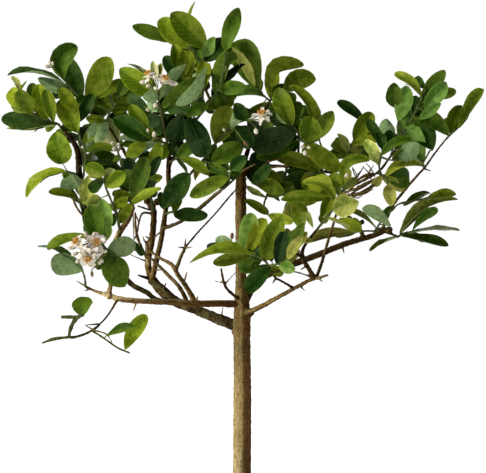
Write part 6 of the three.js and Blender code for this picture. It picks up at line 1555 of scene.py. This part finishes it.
def build_buds(name, column, row, depth, direction):
    facing, across, over = frame_of(direction)
    hub = seen(column, row, depth) + facing * SEAT_GAP
    bm = with_layers(bmesh.new())
    green = paint(BUD_STALK_GREEN)
    tube(bm, [hub - facing * SEAT_GAP, hub + facing * HUB_HEIGHT], HUB_RADII, 8, 1, green)
    for k in range(BUD_COUNT):
        way = (facing + spoke(across, over, 2 * math.pi * k / BUD_COUNT + 0.4) * 0.75).normalized()
        growth = 0.75 + 0.12 * k
        start = hub + facing * 0.7 * HUB_HEIGHT
        centre = start + way * (BUD_STALK + BUD_LENGTH * 0.7 * growth)
        radius, length = BUD_RADIUS * growth * 1.2, BUD_LENGTH * growth * 1.1
        tube(bm, [start, start.lerp(centre, 0.5), centre], BUD_STALK_RADII, 6, 1, green)
        calyx(bm, centre - way * length * 0.56, way, radius * 0.85, length * 0.3)
        for vert in ball(bm, centre, way, radius, length, subdivisions=3, point=BUD_POINT):
            out = vert.co - centre
            vert.co += out * 0.05 * math.cos(5 * math.atan2(out.dot(across), out.dot(over)))
    to_piece(name.replace("buds", "closed_buds"), bm, [BUD, SHOOT], name, 50)


def build_loose_buds():
    """Single buds, some of them dried up, on stalks of their own beside the flowers."""
    bm = with_layers(bmesh.new())
    single_buds = [(spray, bud) for spray, buds in LOOSE_BUDS.items() for bud in buds]
    for spray, (column, row, depth, direction, size, *dry) in single_buds:
        facing = Vector(direction).normalized()
        foot = seen(column, row, depth) - facing * BUD_LENGTH * 0.5 * size
        start = place_of(axis_point(all_sprays[spray][0], column, row))
        places, radii = smooth_line([start, foot - facing * 2, foot + facing], SINGLE_STALK_RADII)
        tube(bm, places, radii, 6, 1, paint(SINGLE_STALK_GREEN))
        calyx(bm, foot, facing, BUD_RADIUS * 0.9 * size, BUD_LENGTH * 0.28 * size)
        centre = foot + facing * BUD_LENGTH * 0.6 * size
        finish = 2 if dry else 0
        ball(bm, centre, facing, BUD_RADIUS * size, BUD_LENGTH * size, finish, point=BUD_POINT)
    to_piece("single_buds", bm, [BUD, SHOOT, DRY_BUD])


def build_flowers():
    build_loose_buds()
    dice = random.Random(FLOWER_SEED)
    for name, _, *blossom in BLOSSOMS:
        build_blossom(name, *blossom, dice)
    for name, _, *cluster in BUD_CLUSTERS:
        build_buds(name, *cluster)


# Pot and soil

TURN_STEPS = 96


def turned(profile):
    """A closed solid turned from a profile of radius and height that starts and ends on the axis."""
    bm = with_layers(bmesh.new())
    verts = [bm.verts.new((radius, 0, height)) for radius, height in profile]
    edges = [bm.edges.new(pair) for pair in zip(verts, verts[1:])]
    turn = {"axis": (0, 0, 1), "cent": (0, 0, 0), "angle": 2 * math.pi}
    bmesh.ops.spin(bm, geom=verts + edges, steps=TURN_STEPS, use_merge=True, **turn)
    bmesh.ops.remove_doubles(bm, verts=bm.verts, dist=0.001)
    bmesh.ops.recalc_face_normals(bm, faces=bm.faces)
    return bm


def rounded(profile, radius, steps=5):
    """A profile with its corners turned into short curves."""
    line = [profile[0]]
    for before, corner, after in zip(profile, profile[1:], profile[2:]):
        before, corner, after = Vector(before), Vector(corner), Vector(after)
        reach = min(radius, (corner - before).length * 0.45, (after - corner).length * 0.45)
        start = corner + (before - corner).normalized() * reach
        end = corner + (after - corner).normalized() * reach
        for k in range(steps + 1):
            t = k / steps
            line.append(tuple(start.lerp(corner, t).lerp(corner.lerp(end, t), t)))
    return line + [profile[-1]]


def wall_radius(height):
    foot, top = POT_FOOT_RADIUS + FOOT_STEP, POT_RIM_RADIUS - LIP_REACH
    share = min(1, (height - FOOT_HEIGHT) / (POT_HEIGHT - LIP_HEIGHT - FOOT_HEIGHT))
    return foot + (top - foot) * math.sin(math.pi / 2 * share)


def build_pot():
    lip_foot = POT_HEIGHT - LIP_HEIGHT
    profile = [
        (0, FOOT_HOLLOW),
        (POT_FOOT_RADIUS - FOOT_RING - 1, FOOT_HOLLOW),
        (POT_FOOT_RADIUS - FOOT_RING, 0),
        (POT_FOOT_RADIUS, 0),
        (POT_FOOT_RADIUS, FOOT_HEIGHT - 1),
        *((wall_radius(height), height) for height in range(FOOT_HEIGHT, lip_foot + 1, WALL_STEP)),
        (POT_RIM_RADIUS - LIP_REACH, lip_foot),
        (POT_RIM_RADIUS, lip_foot + 1),
        (POT_RIM_RADIUS, POT_HEIGHT - LIP_BEVEL),
        (POT_RIM_RADIUS - LIP_BEVEL, POT_HEIGHT),
        (POT_MOUTH + 1, POT_HEIGHT),
        (POT_MOUTH, POT_HEIGHT - 1),
        *((wall_radius(height) - POT_WALL, height) for height in range(INNER_TOP, POT_FLOOR, -INNER_STEP)),
        (wall_radius(POT_FLOOR) - POT_WALL, POT_FLOOR),
        (0, POT_FLOOR),
    ]
    to_piece("glazed_pot", turned(rounded(profile, POT_CORNER)), [GLAZE], "pot", 35)


def soil_height(x, y):
    radius = math.hypot(x, y)
    swell = SWELL_HEIGHT * math.sin(x / 11) * math.cos(y / 9) * min(1, radius / 30)
    return SOIL_TOP - MOUND_DROP * (radius / SOIL_EDGE) ** 2 + swell


def build_soil():
    dice = random.Random(SOIL_SEED)
    rings = [(SOIL_EDGE * share, SOIL_TOP) for share in SOIL_RINGS]
    side = [(0, SOIL_FLOOR), (SOIL_EDGE - 10, SOIL_FLOOR), (SOIL_EDGE, SOIL_TOP - 12)]
    bm = turned([*side, *rings, (0, SOIL_TOP)])
    tint = bm.verts.layers.float_color["tint"]
    for vert in bm.verts:
        vert[tint] = paint(SOIL_BROWN)
        if vert.co.z > SOIL_TOP - 1:
            lump = noise.noise(vert.co * 0.12) + 0.5 * noise.noise(vert.co * 0.4)
            vert.co.z = soil_height(vert.co.x, vert.co.y) + LUMP_SHARE * lump - 0.8
    for _ in range(HANDFULS):
        handful = with_layers(bmesh.new())
        tint = handful.verts.layers.float_color["tint"]
        for _ in range(GRAINS_IN_HANDFUL):
            radius = SOIL_EDGE * math.sqrt(dice.uniform(0.025, 0.97))
            turn = dice.uniform(0, 2 * math.pi)
            x, y = radius * math.cos(turn), radius * math.sin(turn)
            size = dice.uniform(*GRAIN_SIZES)
            grain = bmesh.ops.create_icosphere(handful, subdivisions=1, radius=size)["verts"]
            colour = varied(paint(dice.choice(GRAIN_BROWNS)), dice, 0.2)
            flat = dice.uniform(0.6, 1)
            for vert in grain:
                vert.co *= dice.uniform(0.8, 1.15)
                vert.co.z *= flat
                vert[tint] = colour
            bmesh.ops.translate(handful, vec=(x, y, soil_height(x, y) + size * 0.2), verts=grain)
        bm.from_mesh(to_mesh(handful))
    to_piece("potting_soil", bm, [SOIL], "soil", 30)


build_wood()
build_foliage()
build_flowers()
build_pot()
build_soil()


# Floor, light and camera, in metres

FLOOR_RADIUS = 14
LIT_PLACE = Vector((0, 0, 0.45))
ROOM_GLOW = 0.15
BACKDROP_GLOW = 1.02
SENSOR_WIDTH = 36


def build_floor():
    finish = Finish("pale_floor", roughness=0.9)
    x, y, _ = finish.parts(finish.place())
    distance = (x * x + y * y) ** 0.5
    finish.set(
        base_color=(0.9, 0.9, 0.9, 1),
        emission_color=finish.mixed(distance.rise(0.25, 1.6), (0.18, 0.18, 0.18, 1), (1, 1, 1, 1)),
        emission_strength=1,
    )
    bm = bmesh.new()
    bmesh.ops.create_circle(bm, cap_ends=True, segments=64, radius=FLOOR_RADIUS)
    mesh = to_mesh(bm, "floor")
    mesh.materials.append(finish.material)
    to_scene("floor", mesh)


def lamp(name, place, size, power, colour=(1, 1, 1)):
    """A round lamp that shines at the tree."""
    data = bpy.data.lights.new(name, "AREA")
    data.shape = "DISK"
    data.size = size
    data.energy = power
    data.color = colour
    light = to_scene(name, data)
    light.location = place
    light.rotation_euler = (LIT_PLACE - light.location).to_track_quat("-Z", "Y").to_euler()


def build_light():
    lamp("key", (-2.3, -1.1, 2.0), 0.8, 116, (1, 0.98, 0.93))
    lamp("fill", (2.2, -1.9, 1.1), 1.6, 4)
    lamp("back", (0.6, 2.2, 1.8), 1.4, 26)
    world = bpy.data.worlds.new("white_room")
    bpy.context.scene.world = world
    world.use_nodes = True
    tree = world.node_tree
    tree.nodes.clear()
    rays = tree.nodes.new("ShaderNodeLightPath")
    mix = tree.nodes.new("ShaderNodeMixShader")
    out = tree.nodes.new("ShaderNodeOutputWorld")
    for strength, socket in ((ROOM_GLOW, mix.inputs[1]), (BACKDROP_GLOW, mix.inputs[2])):
        white = tree.nodes.new("ShaderNodeBackground")
        white.inputs["Color"].default_value = (1, 1, 1, 1)
        white.inputs["Strength"].default_value = strength
        tree.links.new(white.outputs[0], socket)
    tree.links.new(rays.outputs["Is Camera Ray"], mix.inputs["Fac"])
    tree.links.new(mix.outputs[0], out.inputs["Surface"])


def build_camera():
    data = bpy.data.cameras.new("camera")
    data.sensor_width = SENSOR_WIDTH
    data.lens = SENSOR_WIDTH * VIEW_DISTANCE / (PHOTO_WIDTH * PIXEL)
    camera = to_scene("camera", data)
    camera.location = (VIEW_ACROSS * MM, -VIEW_DISTANCE * MM, VIEW_HEIGHT * MM)
    camera.rotation_euler = (math.pi / 2, 0, 0)
    bpy.context.scene.camera = camera


build_floor()
build_light()
build_camera()
bpy.context.scene.view_settings.view_transform = "Standard"
